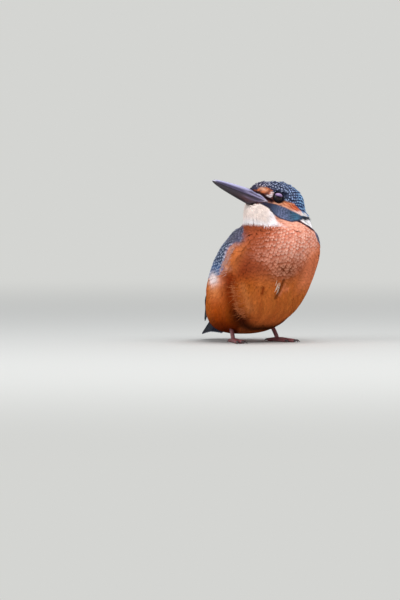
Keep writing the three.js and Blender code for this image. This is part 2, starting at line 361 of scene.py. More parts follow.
joined = bmesh.new()
scratch = bpy.data.meshes.new("scratch")
shapes = [node_shape(name) for name in FLESH]
for shape in shapes:
    for v in shape.verts:
        v.co += v.normal * CLOSE_CUTS
for shape in shapes + [blob(*ROOT_OF_TAIL), blob(*UNDER_NECK)]:
    shape.to_mesh(scratch)
    joined.from_mesh(scratch)
    shape.free()
raw_mesh = bpy.data.meshes.new("raw_skin")
joined.to_mesh(raw_mesh)
joined.free()
raw_skin = bpy.data.objects.new("raw_skin", raw_mesh)
bpy.context.scene.collection.objects.link(raw_skin)
remesh = raw_skin.modifiers.new("one volume", "REMESH")
remesh.mode, remesh.voxel_size = "VOXEL", VOXEL
relax = raw_skin.modifiers.new("relax", "SMOOTH")
relax.factor, relax.iterations = 0.5, 12
evaluated = raw_skin.evaluated_get(bpy.context.evaluated_depsgraph_get())
corners, triangles = read_mesh(evaluated.to_mesh())
evaluated.to_mesh_clear()
bpy.data.objects.remove(raw_skin)
bpy.data.meshes.remove(raw_mesh)
bpy.data.meshes.remove(scratch)
print("skin", len(corners), "corners")

# %% [markdown]
# ### Places on the head
# The head is turned and lifted, so its markings are easiest to give in its own directions:
# forward along the bill, sideways from the middle plane, and up to the crown.

# %% Head directions
HEAD_CENTRE = np.array([-3.0, -22.0, 75.9])
HEAD_YAW, HEAD_PITCH = math.radians(-85), math.radians(17)
FORWARD = np.array([
    math.sin(HEAD_YAW) * math.cos(HEAD_PITCH),
    -math.cos(HEAD_YAW) * math.cos(HEAD_PITCH),
    math.sin(HEAD_PITCH),
])
SIDEWAYS = np.array([math.cos(HEAD_YAW), math.sin(HEAD_YAW), 0.0])
CROWNWARD = np.cross(FORWARD, SIDEWAYS)
EYE_AT = (5.4, 7.9, 1.5)  # forward, sideways and up


def on_head(p):
    """Distance forward, sideways and up from the middle of the head."""
    q = np.asarray(p) - HEAD_CENTRE
    return q @ FORWARD, q @ SIDEWAYS, q @ CROWNWARD


def from_head(forward, sideways, up):
    """The point at those distances, or rows of points for arrays."""
    parts = np.broadcast_arrays(forward, sideways, up)
    axes = (FORWARD, SIDEWAYS, CROWNWARD)
    return HEAD_CENTRE + sum(np.asarray(a)[..., None] * axis for a, axis in zip(parts, axes))


def from_eye(forward, up):
    """Distance from the eye's middle as the side of the head shows it."""
    return np.hypot(forward - EYE_AT[0], up - EYE_AT[2])


print("crownward", CROWNWARD.round(3))

# %% [markdown]
# ### Depth and relief of the coat
# The coat is thinnest on the face and thickest on the belly. The loose flank feathers lie in a
# mass of their own beside the belly, so a groove is pressed between them, and the belly parts a
# little along its middle.

# %% Coat depth and grooves
def from_step(p, a, b):
    """Distance of each point from the straight step between two places."""
    along = np.clip(((p - a) @ (b - a)) / ((b - a) @ (b - a)), 0, 1)
    return np.linalg.norm(p - a - along[:, None] * (b - a), axis=1)


def near_line(p, line):
    """Distance of each point from a line through a few places."""
    line = np.array(line, float)
    return np.min([from_step(p, a, b) for a, b in zip(line[:-1], line[1:])], axis=0)


def stroke(p, line, width, hardness=2):
    """1 on a line, falling away to 0 over its half width."""
    return np.exp(-((near_line(p, line) / width) ** hardness))


def spread(p, centre, radii):
    """1 at a centre, falling away to 0 over the radii."""
    return np.exp(-(((p - np.array(centre)) / np.array(radii)) ** 2).sum(1))


def right_half(p):
    """The same points mirrored to the bird's right side."""
    q = np.array(p, float)
    q[:, 0] = -np.abs(q[:, 0])
    return q


GROOVE = [
    (-26.6, -15.5, 40), (-25.9, -13, 34.9), (-24.9, -11.6, 27.9), (-23.6, -10.6, 23.5),
    (-21.6, -10, 19.1), (-18.2, -9.8, 15.2), (-14.5, -8.8, 11.9),
]
FLANK = [(-25, -8, 34), (-23, 0, 24), (-18, 4, 15)]
PARTING = [(-6.5, -35.6, 34.6), (-6.5, -32.8, 30.2), (-6.8, -30.4, 26.9), (-6.9, -28.6, 24.7)]
WING_MIDDLE = [(-27, -6, 45), (-27, -1, 37)]
THROAT_SIDE = (-16.5, -11, 61.5)
# Where the relief of the head swells or sinks: how much, place on the head and reach, in mm.
HEAD_RELIEF = [
    (-0.8, (-17.0, 3.0, 1.0), 7),  # nape
    (-2.4, (-17.0, 11.5, -4.5), 6),  # left side of the hind neck
    (1.1, (14.5, 0.0, 4.2), 5),  # forehead
]


def headness(p):
    """1 on the head, 0 on the trunk."""
    forward, _, up = on_head(p)
    return ease(-13, -4, up + 0.25 * forward)


BODY_DEPTH, HEAD_DEPTH = 1.7, 1.0  # of the coat
FACE_DEPTH, BILL_SHARE = 0.55, 0.5  # on the face, and how much of that is left by the bill


def coat_depth(p):
    """How deep the skin lies under the tips of the feathers, mm."""
    forward = on_head(p)[0]
    body = mix(BODY_DEPTH, HEAD_DEPTH, ease(52, 66, p[:, 2]))
    head = mix(HEAD_DEPTH, FACE_DEPTH, ease(2, 9, forward))
    head = head * mix(1.0, BILL_SHARE, ease(14.5, 18.5, forward))
    return mix(body, head, headness(p))


def relief(p):
    """How far the plumage swells or sinks, mm."""
    q = right_half(p)
    swell = 1.4 * stroke(q, FLANK, 6.5) + 1.5 * spread(p, THROAT_SIDE, (5, 5, 5))
    swell -= 1.0 * stroke(q, WING_MIDDLE, 5.0)
    for height, place, reach in HEAD_RELIEF:
        swell += height * spread(p, from_head(*place), (reach,) * 3)
    return swell - 1.4 * stroke(q, GROOVE, 2.8) - 0.9 * stroke(p, PARTING, 1.1)


# %% [markdown]
# Blender can find the nearest point of a mesh quickly. The helper below also blends the
# corner normals there, so that feathers laid by it don't show the facets of the skin.

# %% Sink the skin and measure on it
DEEPEST_FILL = 1.2


def corner_normals(corners, triangles):
    """A smooth outward direction at each corner."""
    a, b, c = (corners[triangles[:, i]] for i in range(3))
    face = np.cross(b - a, c - a)
    total = np.zeros_like(corners)
    for i in range(3):
        np.add.at(total, triangles[:, i], face)
    return unit(total)


def calm(values, triangles, rounds):
    """Values at the corners, averaged with their neighbours a few times."""
    ends = np.concatenate([triangles[:, [i, (i + 1) % 3]] for i in range(3)])
    ends = np.concatenate([ends, ends[:, ::-1]])
    count = np.bincount(ends[:, 0], minlength=len(values))[:, None]
    for _ in range(rounds):
        total = np.zeros_like(values)
        np.add.at(total, ends[:, 0], values[ends[:, 1]])
        values = mix(values, total / np.maximum(count, 1), 0.6)
    return values


outward = unit(calm(corner_normals(corners, triangles), triangles, 6))
# Narrow valleys between wing and breast are filled, as plumage would bridge them.
evened = calm(corners, triangles, 16)
valley = np.clip(((evened - corners) * outward).sum(1), 0, DEEPEST_FILL)[:, None]
corners = corners + outward * valley
skin_at = corners + outward * (relief(corners) - coat_depth(corners))[:, None]
skin_at = calm(skin_at, triangles, 2)
skin_out = unit(calm(corner_normals(skin_at, triangles), triangles, 4))
skin_tree = BVHTree.FromPolygons(skin_at.tolist(), triangles.tolist())


def settle(points):
    """The nearest places on the skin and the smooth directions out of it there."""
    flat = np.asarray(points, float).reshape(-1, 3)
    hits = [skin_tree.find_nearest(Vector(p)) for p in flat]
    at = np.array([h[0] for h in hits])
    face = triangles[[h[2] for h in hits]]
    a, b, c = (skin_at[face[:, i]] for i in range(3))
    whole = np.cross(b - a, c - a)
    area = np.maximum((whole * whole).sum(1), 1e-12)
    share_a = (np.cross(b - at, c - at) * whole).sum(1) / area
    share_b = (np.cross(c - at, a - at) * whole).sum(1) / area
    shares = np.clip(np.stack([share_a, share_b, 1 - share_a - share_b], 1), 0, 1)
    out = unit((skin_out[face] * shares[:, :, None]).sum(1))
    shape = np.shape(points)
    return at.reshape(shape), out.reshape(shape)


print("skin box", skin_at.min(0).round(1), skin_at.max(0).round(1))

# %% [markdown]
# ## The lie of the coat
# Feathers point away from the bill and towards the tail, like the flow from a spring to a
# drain. Adding those two pulls at any point of the skin gives a direction with no seams, and
# the folded wing bends it along its own length.

# %% Lie of the feathers
SPRING = from_head(25.0, 0.0, -2.0)
DRAIN, DRAIN_PULL = np.array([0, 36.0, 8.0]), 1.6  # the pull is against the spring's
DOWN_AND_BACK = np.array([0, 1.2e-4, -2.6e-4])  # a weak steady pull besides
WING_LINE = np.array([(-24, -22, 60), (-28.5, -9, 50), (-27, 6, 38), (-18, 19, 28), (-9, 27, 22)])
# Bearings round the trunk, 0 straight out to the side and 90 the middle of the back, of the
# edges of the folded wing at a few heights. The flank feathers cover its lower front edge, and
# the bend of the left wing shows in front of the turned neck.
WING_FRONT = [
    (20, 66), (26, 58), (32, 52), (34.5, 36), (37, 1), (40, -3),
    (46, 2), (52, 5), (56, -2), (60, 3), (63, 16),
]
LEFT_WING_FRONT = [
    (20, 64), (25, 54), (30, 42), (34, 20), (36, 5), (46, -6), (50, -20),
    (53, -50), (55, -61), (58, -65), (60, -63), (62, -40), (63, 14),
]
WING_BACK = [(20, 84), (33, 68), (44, 54), (54, 42), (63, 32)]
AXIS_Y, AXIS_HEIGHT, LEAN = -5.6, 35.6, 0.61  # the trunk's axis goes forward as it rises


def axis_y(height):
    """Where the leaning axis of the trunk stands at a height."""
    return AXIS_Y - LEAN * (height - AXIS_HEIGHT)


def bearings(p):
    """Degrees round the leaning trunk: 0 out to the side, -90 the breast, 90 the back."""
    return np.degrees(np.arctan2(p[:, 1] - axis_y(p[:, 2]), np.abs(p[:, 0])))


def round_trunk(p):
    """Degrees round the leaning trunk: -90 the breast, 0 the bird's left, -180 its right."""
    turn = np.degrees(np.arctan2(p[:, 1] - axis_y(p[:, 2]), p[:, 0]))
    return np.where(turn > 90, turn - 360, turn)


def stepped(x, places):
    """Straight steps through (x, value) places."""
    line = np.array(places, float)
    return np.interp(x, line[:, 0], line[:, 1])


def past_front(p):
    """Degrees behind the front edge of the folded wing."""
    height = p[:, 2]
    front = np.where(p[:, 0] > 0, stepped(height, LEFT_WING_FRONT), stepped(height, WING_FRONT))
    return bearings(p) - front


def wing_share(p):
    """1 on a folded wing, 0 away from it."""
    height = p[:, 2]
    behind = bearings(p) - stepped(height, WING_BACK)
    share = ease(-2.5, 2.5, past_front(p)) * (1 - ease(-4, 4, behind))
    return share * ease(17, 20, height) * (1 - ease(61.5, 64.5, height))


def wing_run(p):
    """Which way the folded wing runs at each point."""
    q = right_half(p)
    far = [from_step(q, a, b) for a, b in zip(WING_LINE[:-1], WING_LINE[1:])]
    way = unit(np.diff(WING_LINE, axis=0))[np.argmin(far, axis=0)]
    return way * np.where(p[:, :1] > 0, [[-1, 1, 1]], 1)


def lie(p, out):
    """The way a feather rooted at p points, square to the outward direction."""
    from_spring, to_drain = p - SPRING, DRAIN - p
    pull = from_spring / np.linalg.norm(from_spring, axis=1, keepdims=True) ** 3
    pull = pull + DRAIN_PULL * to_drain / np.linalg.norm(to_drain, axis=1, keepdims=True) ** 3
    pull = unit(pull + DOWN_AND_BACK)
    on_wing = ease(-26, 3, past_front(p)) * ease(17, 23, p[:, 2]) * (1 - ease(58, 66, p[:, 2]))
    pull = unit(mix(pull, wing_run(p), on_wing[:, None] * 0.9))
    return unit(pull - (pull * out).sum(1, keepdims=True) * out)


# %% [markdown]
# ## Markings
# One function gives the colour of the plumage anywhere on the bird. Skin and feathers both
# use it, so the pattern carries through where the coat is thin. The borders on the face are
# short lists of places along the head; the rest follows from height and bearing.

# %% Colours of the plumage
BREAST, BREAST_PINK_HIGHLIGHT = paint(162, 80, 50), paint(216, 132, 108)
BREAST_LOW, BELLY_RED = paint(178, 94, 62), paint(184, 86, 38)
SIDE_SHADE = paint(124, 50, 22)
SCALE_TIP_HIGHLIGHT, SCALE_TIP_LOW = paint(255, 208, 190), paint(228, 150, 122)
SCALE_TIP_LEFT = paint(228, 154, 130)
DUSKY, DUSKY_TIP = paint(120, 56, 32), paint(226, 154, 124)
BELLY, BELLY_LEFT, BELLY_LOW = paint(206, 114, 52), paint(192, 102, 32), paint(190, 96, 48)
FLANK_TOP, FLANK_DEEP, FLANK_LOW_SHADE = paint(240, 152, 92), paint(176, 66, 4), paint(104, 28, 0)
GROOVE_SHADE, MARGIN_GOLD = paint(118, 32, 0), paint(206, 124, 72)
DOWN_PINK, PARTING_SHADE = paint(250, 226, 224), paint(70, 26, 8)
THROAT, THROAT_SHADE = paint(255, 250, 254), paint(252, 234, 226)
CROWN, CROWN_SPOT = paint(24, 38, 74), paint(208, 220, 255)
NAPE, NAPE_SPOT = paint(14, 44, 104), paint(158, 210, 255)
FOREHEAD, FOREHEAD_SPOT = paint(44, 40, 70), paint(250, 240, 255)
CROWN_BLUE_SPOT = paint(176, 204, 255)
MALAR, MALAR_BAR, MALAR_REAR = paint(70, 82, 108), paint(142, 150, 190), paint(74, 122, 150)
MALAR_DARK = paint(48, 42, 58)
EAR, EAR_PALE, EAR_EDGE = paint(222, 104, 66), paint(255, 180, 136), paint(250, 232, 230)
LORAL, LORAL_PALE = paint(214, 118, 72), paint(240, 184, 154)
PALE_SPOT, LORE_LINE = paint(242, 226, 232), paint(36, 16, 22)
LORE_GROUND = paint(104, 60, 56)
NECK_WHITE, NECK_LINE, BLUSH = paint(255, 250, 252), paint(48, 18, 36), paint(240, 172, 148)
EYE_RING = paint(22, 20, 30)
AZURE, MANTLE = paint(36, 150, 214), paint(34, 90, 112)
WING_BLUE, WING_BLUE_LOW, WING_SPOT = paint(46, 60, 92), paint(44, 84, 136), paint(196, 208, 234)
SHOULDER, SHOULDER_TIP = paint(82, 80, 100), paint(132, 130, 152)
WING_EDGE, WING_EDGE_TIP = paint(220, 146, 112), paint(230, 176, 160)
GLOW = paint(216, 122, 64)
WING_FORE, WING_FORE_TIP = paint(134, 118, 140), paint(236, 222, 236)
UNDERSIDE_SHADE, ORANGE_AND_RIM_LIGHT = paint(44, 16, 8), paint(238, 138, 96)


# %% [markdown]
# A region is a function that gives 1 inside it and 0 outside, with a soft border between. Such
# shares can be multiplied and added, which a painted mask can't without unwrapping the bird.

# %% Regions of the coat
def blue_back(p):
    """1 on the back and the hind neck between the wings."""
    turn = bearings(p)
    back = ease(-5, 5, turn - stepped(p[:, 2], WING_BACK)) * ease(19, 23, p[:, 2])
    high = ease(56, 60, p[:, 2]) * ease(5.5, 8.5, on_head(p)[1])
    behind = ease(-12, -4, p[:, 1]) * ease(53, 57, p[:, 2]) * (1 - wing_share(p))
    return np.maximum(back * (p[:, 1] > -24) * (1 - high), behind)


def azure_share(p):
    """1 on the bright stripe down the middle of the back."""
    return blue_back(p) * (1 - ease(4.5, 7.5, np.abs(p[:, 0])))


# Edges of the scaly bib: bearings round the whole trunk (-90 the middle of the breast, lower
# towards the bird's right) at a few heights, and its lower edge at a few bearings.
BIB_RIGHT = [(40, -122), (46, -140), (53, -144), (58, -136), (62, -128)]
BIB_LEFT = [(34, -100), (40, -90), (46, -78), (52, -62), (60, -50)]
BIB_LOW = [(-150, 47), (-135, 44.5), (-122, 41.5), (-110, 36.5), (-98, 36.5), (-84, 39), (-60, 43)]


def scaly(p):
    """1 on the breast, where the pale feather tips show as scales."""
    turn, height = round_trunk(p), p[:, 2]
    first, last = stepped(height, BIB_RIGHT), stepped(height, BIB_LEFT)
    inside = ease(first - 26, first + 12, turn) * (1 - ease(last - 12, last + 10, turn))
    return inside * ease(-2.2, 2.2, height - stepped(turn, BIB_LOW))


def mottle(p):
    """A soft unevenness of tone, a few mm across."""
    return np.sin(p[:, 0] * 0.9 + 2 * np.sin(p[:, 2] * 0.31)) * np.sin(p[:, 2] * 0.53 + p[:, 1] * 0.6 + 1.7)


def from_left(p):
    """0 on the breast's side towards the bird's right, 1 from its middle on."""
    return ease(-146, -104, round_trunk(p))


# Borders on the head, seen from its side: heights at a few distances forward, except the rear
# of the throat, which is a distance forward at a few heights.
THROAT_TOP = [(6, -2.5), (11, -2.7), (14.5, -4.5), (20, -6.6), (26, -6.6)]
THROAT_LOW = [(4, -14.0), (10, -15.6), (13.3, -16.3), (18, -20.3), (24, -22)]
THROAT_REAR = [(-17, 0.6), (-14, 1.8), (-12, 3.4), (-9.5, 5.0), (-4, 5.6)]
NECK_LOW = [(-26, -13.5), (-16, -10.9), (-9.3, -9.0), (-5.4, -7.4)]
EAR_TOP = [(-14, -3.2), (-11.1, -1.6), (-4.1, 0.7), (3, 0.4), (6.4, -1.9), (9, -2.4)]
MALAR_TOP = [
    (-16, -5.0), (-10.1, -3.9), (-5.2, -3.3), (0.2, -2.6), (6.3, -2.5), (11.5, -2.7), (14, -3.7),
]
MALAR_LOW = [
    (-16, -5.1), (-12.5, -5.4), (-8.6, -7.4), (-2.2, -10.0),
    (2.3, -9.6), (6.1, -8.2), (9.3, -5.8), (13.5, -4.8),
]
CROWN_LOW = [
    (-30, -1), (-20, -1.0), (-15.5, -1.3), (-13, -2.2), (-11.1, -1.5), (-4.1, 0.8), (3, 0.5), (6.4, -1.0),
    (8.0, -0.6), (8.6, 3.2), (9.6, 4.5), (12.2, 5.3), (15.3, 3.6), (17, 2.1), (18.6, 0.8),
]


def on_neck(p):
    """1 on the head and neck, 0 on the trunk."""
    forward, _, up = on_head(p)
    return ease(-19, -15, up + 0.15 * forward) * ease(59, 61.5, p[:, 2])


def throat_share(p):
    """1 on the white throat."""
    forward, _, up = on_head(p)
    inside = ease(-0.9, 0.9, up - stepped(forward, THROAT_LOW))
    inside = inside * ease(-0.8, 0.8, forward - stepped(up, THROAT_REAR))
    inside = inside * ease(0.2, -0.6, up - stepped(forward, THROAT_TOP))
    return inside * on_neck(p)


# %% [markdown]
# The colours are laid over each other like coats of paint, from the underparts up to the
# fine lines by the eye. Each lay has a share from 0 to 1 for every point at once.

# %% Layers of colour
TIP_LIFT = 1.08  # a tip is this much brighter than its feather, where no tip colour is given


class Layers:
    """Base and tip colours of the plumage at some points, laid one over the other."""

    def __init__(self, count, colour):
        self.base = np.tile(colour, (count, 1))
        self.tip = self.base * TIP_LIFT

    def lay(self, share, colour, tip=None):
        """One more colour over the others, as opaque as its share says."""
        share = np.clip(share, 0, 1)[:, None]
        self.base = mix(self.base, colour, share)
        self.tip = mix(self.tip, colour * TIP_LIFT if tip is None else tip, share)


def streaks(p):
    """-1 to 1 in soft bands that run down the belly, a few mm across."""
    turn, height = round_trunk(p), p[:, 2]
    across = turn * 0.42 + height * 0.35
    return np.sin(across * 1.15 + 1.3 * np.sin(height * 0.22)) * np.sin(across * 0.47 + 0.9 + height * 0.05)


# %% Underparts
UNDERSIDE_SHADE_LINE = [(-18.5, -9.5, 14.6), (-15, -8, 11.3), (-10.5, -6.4, 8.7), (-6, -6.4, 7.3), (0, -7.6, 7.5)]
BELLY_MARGIN = [(-22, -19.5, 31), (-20.5, -19.3, 26.9), (-18.5, -18.3, 22.5), (-15.9, -17.3, 18.6)]
BELLY_SLIT = [(-14.8, -28.4, 30.4), (-14.3, -26.4, 27)]
BESIDE_PARTING = [(-5.0, -34.6, 32), (-5.2, -32.2, 28.8), (-5.6, -30, 26)]
# Soft patches: middle and reach.
FLANK_PATCH = (-26, 2, 30), (8, 10, 7)
DUSKY_PATCH = (-8, -38.6, 39.5), (6.5, 9, 4.6)
SIDE_PATCH = (-22, -27.5, 49.5), (6, 8, 7.5)
LOW_SIDE_SHADE_PATCH = (-23.4, -20.8, 39), (6, 6.5, 6)
PARTING_PATCH = (-2.9, -33.3, 29.6), (1.5, 2, 1.5)


def paint_body(coat, p):
    """Breast, belly and flanks."""
    q, height = right_half(p), p[:, 2]
    left = from_left(p)[:, None]
    low = 1 - ease(28, 42, height)
    coat.lay(low, mix(BELLY_LEFT, BELLY, ease(0.1, 0.5, left)))
    coat.lay(stroke(q, FLANK, 8.0) * low, FLANK_DEEP, FLANK_DEEP * 1.25)
    coat.lay(spread(q, *FLANK_PATCH) * 0.9, FLANK_TOP, FLANK_TOP * 1.15)
    coat.lay(low * (0.5 + 0.5 * streaks(p)) * 0.45, BELLY_RED)
    # Painted shade: darker towards the bottom, most on the flank.
    coat.lay((1 - ease(6, 20, height)) * 0.95, mix(FLANK_LOW_SHADE, BELLY_LOW, ease(0.1, 0.4, left)))
    coat.lay(stroke(q, BELLY_MARGIN, 2.6) * 0.6, MARGIN_GOLD)
    # Painted shade in the groove between flank and belly.
    coat.lay(stroke(q, GROOVE[1:], 4.4) * 0.92, GROOVE_SHADE, GROOVE_SHADE * 1.3)
    # Painted shade along the underside of the belly, between the legs.
    coat.lay(stroke(q, UNDERSIDE_SHADE_LINE, 5.0) * 0.92, UNDERSIDE_SHADE, UNDERSIDE_SHADE * 1.2)
    # Higher up and towards the middle the breast and its pale scale tips grow lighter and pinker: partly
    # their own colour, partly painted highlight.
    high = ease(40, 55, height)[:, None]
    pink = mix(BREAST, mix(BREAST_LOW, BREAST_PINK_HIGHLIGHT, high), left)
    coat.lay(scaly(p), pink, mix(SCALE_TIP_LEFT, mix(SCALE_TIP_LOW, SCALE_TIP_HIGHLIGHT, high), left))
    coat.lay(spread(p, *DUSKY_PATCH) * 0.95, DUSKY, DUSKY_TIP)
    coat.lay(spread(p, *SIDE_PATCH) * 0.4, SIDE_SHADE, SIDE_SHADE * 1.4)
    # Painted shade low on the breast's side, below the front of the wing.
    coat.lay(spread(p, *LOW_SIDE_SHADE_PATCH) * 0.6, GROOVE_SHADE, GROOVE_SHADE * 1.3)
    # Painted light: a brighter orange along the breast's far edge, where it turns away from the camera.
    turn = round_trunk(p)
    rim = ease(-92, -76, turn) * (1 - ease(-60, -40, turn))
    rim = rim * ease(24, 34, height) * (1 - ease(48, 56, height))
    coat.lay(rim * 0.6, ORANGE_AND_RIM_LIGHT, ORANGE_AND_RIM_LIGHT * 1.25)
    # Painted shade in a slit of the belly plumage.
    coat.lay(stroke(p, BELLY_SLIT, 0.8) * 0.85, GROOVE_SHADE)
    coat.lay(stroke(p, BESIDE_PARTING, 0.7) * 0.8, ORANGE_AND_RIM_LIGHT)
    coat.lay(spread(p, *PARTING_PATCH) * 0.7, ORANGE_AND_RIM_LIGHT)


# %% Back and wings
WING_GLOW = [(-25.3, -21.6, 53), (-26.2, -20, 50), (-27, -17.8, 46.5), (-26.6, -15.4, 42)]
SHOULDER_PATCH = (-25, -19.6, 57), (3.4, 3.6, 3.6)
DOWN_PATCH = (-26.3, 3.1, 34.4), (5.5, 6.3, 3.3)


def paint_wings(coat, p):
    """The blue back, the spotted wing coverts and the paler feathers in front of them."""
    q, height = right_half(p), p[:, 2]
    azure = azure_share(p)[:, None]
    coat.lay(blue_back(p), mix(MANTLE, AZURE, azure), mix(MANTLE * 1.7, AZURE * 1.5, azure))
    wing = wing_share(p)
    ahead = stepped(height, WING_FRONT) - bearings(p)
    edge = (1 - ease(4, 13, ahead)) * ease(-4, 0, ahead) * ease(36, 41, height)
    coat.lay(stroke(p, WING_GLOW, 4.0) * (1 - wing) * 0.75, GLOW, GLOW * 1.15)
    coat.lay(edge * (1 - ease(53, 57, height)) * (1 - wing) * 0.7, WING_EDGE, WING_EDGE_TIP)
    low = ease(46, 40, height)[:, None]
    coat.lay(wing, mix(WING_BLUE, WING_BLUE_LOW, low), WING_SPOT)
    fore = wing * ease(-9, -3, ahead) * ease(43, 47, height) * (p[:, 0] < 0)
    coat.lay(fore * 0.7, WING_FORE, WING_FORE_TIP)
    coat.lay(wing * ease(53, 56, height) * (1 - ease(12, 40, bearings(p))), SHOULDER, SHOULDER_TIP)
    coat.lay(spread(p, *SHOULDER_PATCH) * 1.2, SHOULDER, SHOULDER_TIP)
    coat.lay(spread(q, *DOWN_PATCH) * 1.3, DOWN_PINK)


# %% [markdown]
# The head is painted in its own directions. Most of its markings are the same at every
# distance from the middle plane, so a border or a line in its side view is enough for them.

# %% Head
# Lines in the side view: (forward, up).
COLLAR = [(-8.6, -5.6), (-11.5, -6.4), (-16, -7.2), (-19, -8.0)]
UNDER_COLLAR = [(-5.4, -7.4), (-7.4, -8.1), (-9.3, -9.0), (-11.5, -9.9), (-16, -10.9)]
UNDER_EAR = [(-13, -4.0), (-5.2, -2.9), (0.2, -2.2), (6.3, -2.1), (12, -2.4)]
LORE = [(16.6, 1.5), (14.6, 0.7), (12.2, -0.5), (8.4, -1.4)]
LORAL_PATCH = [(10.4, 3.2), (12.4, 3.6), (14.6, 2.4)]
BEFORE_EYE = [(9.6, 2.9), (9.9, 1.6), (10.6, 0.3), (11.6, 0.2)]
RING_AT, RING_RADIUS = (5.4, 1.3), 3.4


def above(height, x, line, soft=0.3):
    """1 above a border, 0 below it."""
    return ease(-soft, soft, height - stepped(x, line))


def paint_neck(coat, p, forward, up, side, neck):
    """Throat, the blue hind neck and the white patch at each side of it."""
    profile, beside = np.stack([forward, up], 1), ease(3, 4.5, side) * neck
    # Painted shade: the throat is dimmer and creamier towards the bill and its top, under the bill.
    unshaded = np.maximum(ease(11, 5, forward), ease(-12, -16, up))
    coat.lay(throat_share(p), mix(THROAT_SHADE, THROAT, unshaded[:, None]))
    blush = ease(7, 2, forward) * ease(-16, -13, up) * ease(-9, -5, forward) * beside
    coat.lay(blush * 0.8, BLUSH)
    under_line = ease(0.4, -0.6, stepped(forward, NECK_LOW) - up)
    hind = ease(-8, -11, forward) * ease(50, 56, p[:, 2]) * (p[:, 0] > 5)
    coat.lay(hind * np.where(side > 7, under_line, 1) * (1 - ease(6.0, 7.4, side)), NAPE, NAPE_SPOT)
    collar = stroke(profile, COLLAR, 2.1, 4) * ease(5, 7, side)
    patch = ease(-9.5, -12, forward) * (1 - above(up, forward, CROWN_LOW, 0.4))
    patch = patch * above(up, forward, NECK_LOW, 0.4) * ease(5.5, 7.2, side)
    coat.lay(np.maximum(collar, patch) * neck, NECK_WHITE)
    coat.lay(stroke(profile, UNDER_COLLAR, 1.25, 4) * ease(5, 7, side) * neck, NECK_LINE)


def paint_cheek(coat, forward, up, beside):
    """The moustache stripe and the orange ear patch over it."""
    over_stripe = up - stepped(forward, MALAR_LOW)
    malar = ease(-0.3, 0.3, over_stripe) * (1 - above(up, forward, MALAR_TOP))
    malar = malar * ease(-15.5, -13.5, forward) * beside
    rim = (1 - ease(0.1, 1.3, over_stripe))[:, None]
    bars = 0.5 + 0.5 * np.sin(forward * 4.4 + 0.9 * np.sin(up * 1.7))
    pale = (bars * np.exp(-(((forward - 1) / 4.0) ** 2)))[:, None]
    rear = (np.exp(-(((forward + 6.5) / 3.4) ** 2)) * (0.6 + 0.4 * bars))[:, None]
    blue = mix(mix(MALAR, MALAR_BAR, pale * 0.75), MALAR_REAR, rear * 0.85)
    front = (0.8 * ease(6, 10, forward))[:, None]
    blue = mix(mix(blue, MALAR_DARK, front), MALAR_DARK, rim)
    coat.lay(malar, blue, blue * 1.3)
    ear = above(up, forward, MALAR_TOP) * (1 - above(up, forward, EAR_TOP))
    ear = ear * ease(-11.5, -10, forward) * (1 - ease(8.2, 9.4, forward)) * beside
    streak = np.sin((up - 0.3 * forward) * 4.4 + 1.2 * np.sin(forward * 1.1))
    pale = np.clip(0.62 * ease(-6, 1, forward) + 0.42 * streak, 0, 1)[:, None]
    coat.lay(ear, mix(EAR, EAR_PALE, pale))
    profile = np.stack([forward, up], 1)
    edge = mix(EAR_EDGE, EAR_PALE, ease(-8, -2, forward)[:, None] * 0.8)
    coat.lay(stroke(profile, UNDER_EAR, 0.5) * beside * 0.75, edge)
    coat.lay(spread(profile, (-10.3, -2.7), (1.9, 0.9)) * beside * 0.9, EAR_EDGE)


def paint_crown(coat, p, forward, up, side, neck):
    """The spotted blue cap and nape; gives the share of the cap."""
    crown = above(up, forward, CROWN_LOW, 0.35)
    nape = ease(-7, -10, forward) * (1 - ease(6.0, 7.4, side)) * ease(50, 56, p[:, 2]) * (p[:, 0] > 5)
    fore, rear = ease(6, 15, forward)[:, None], ease(-3, -9, forward)[:, None]
    base = mix(mix(CROWN, FOREHEAD, fore), NAPE, rear)
    blue_spot = ease(5, -1, forward)[:, None]
    spot = mix(mix(CROWN_SPOT, FOREHEAD_SPOT, fore), CROWN_BLUE_SPOT, blue_spot)
    coat.lay(np.maximum(crown * neck, nape), base, mix(spot, NAPE_SPOT, rear))
    return crown


def paint_face(coat, forward, up, side, neck, crown):
    """The fine lines and patches between bill and eye, and the dark skin round the eye."""
    profile, beside = np.stack([forward, up], 1), ease(3, 4.5, side) * neck
    ground = ease(7.0, 8.4, forward) * above(up, forward, THROAT_TOP, 0.4) * (1 - crown)
    coat.lay(ground * beside, LORE_GROUND)
    front = ease(1.5, 3, side) * neck
    streak = 0.6 + 0.4 * np.sin(forward * 2.6 + up * 1.9 + 1.5 * np.sin(side))
    loral = stroke(profile, LORAL_PATCH, 1.6, 4) * (1 - crown)
    coat.lay(loral * front, mix(LORE_GROUND, LORAL, streak[:, None]))
    coat.lay(spread(profile, (13.6, 3.6), (1.5, 1.1)) * front * 0.9, LORAL_PALE)
    uneven = 0.75 + 0.25 * np.sin(up * 5 + forward * 3)
    coat.lay(stroke(profile, BEFORE_EYE, 0.85, 4) * ease(4, 6, side) * neck * uneven, PALE_SPOT)
    coat.lay(stroke(profile, LORE, 0.8, 4) * ease(2, 3, side) * neck, LORE_LINE)
    ring = np.exp(-((np.hypot(forward - RING_AT[0], (up - RING_AT[1]) * 1.06) / RING_RADIUS) ** 10))
    coat.lay(ring * beside, EYE_RING, EYE_RING * 1.8)


def paint_head(coat, p):
    """All of the head and neck, from the throat up to the ring round the eye."""
    forward, sideways, up = on_head(p)
    side, neck = np.abs(sideways), on_neck(p)
    paint_neck(coat, p, forward, up, side, neck)
    paint_cheek(coat, forward, up, ease(3, 4.5, side) * neck)
    crown = paint_crown(coat, p, forward, up, side, neck)
    paint_face(coat, forward, up, side, neck, crown)


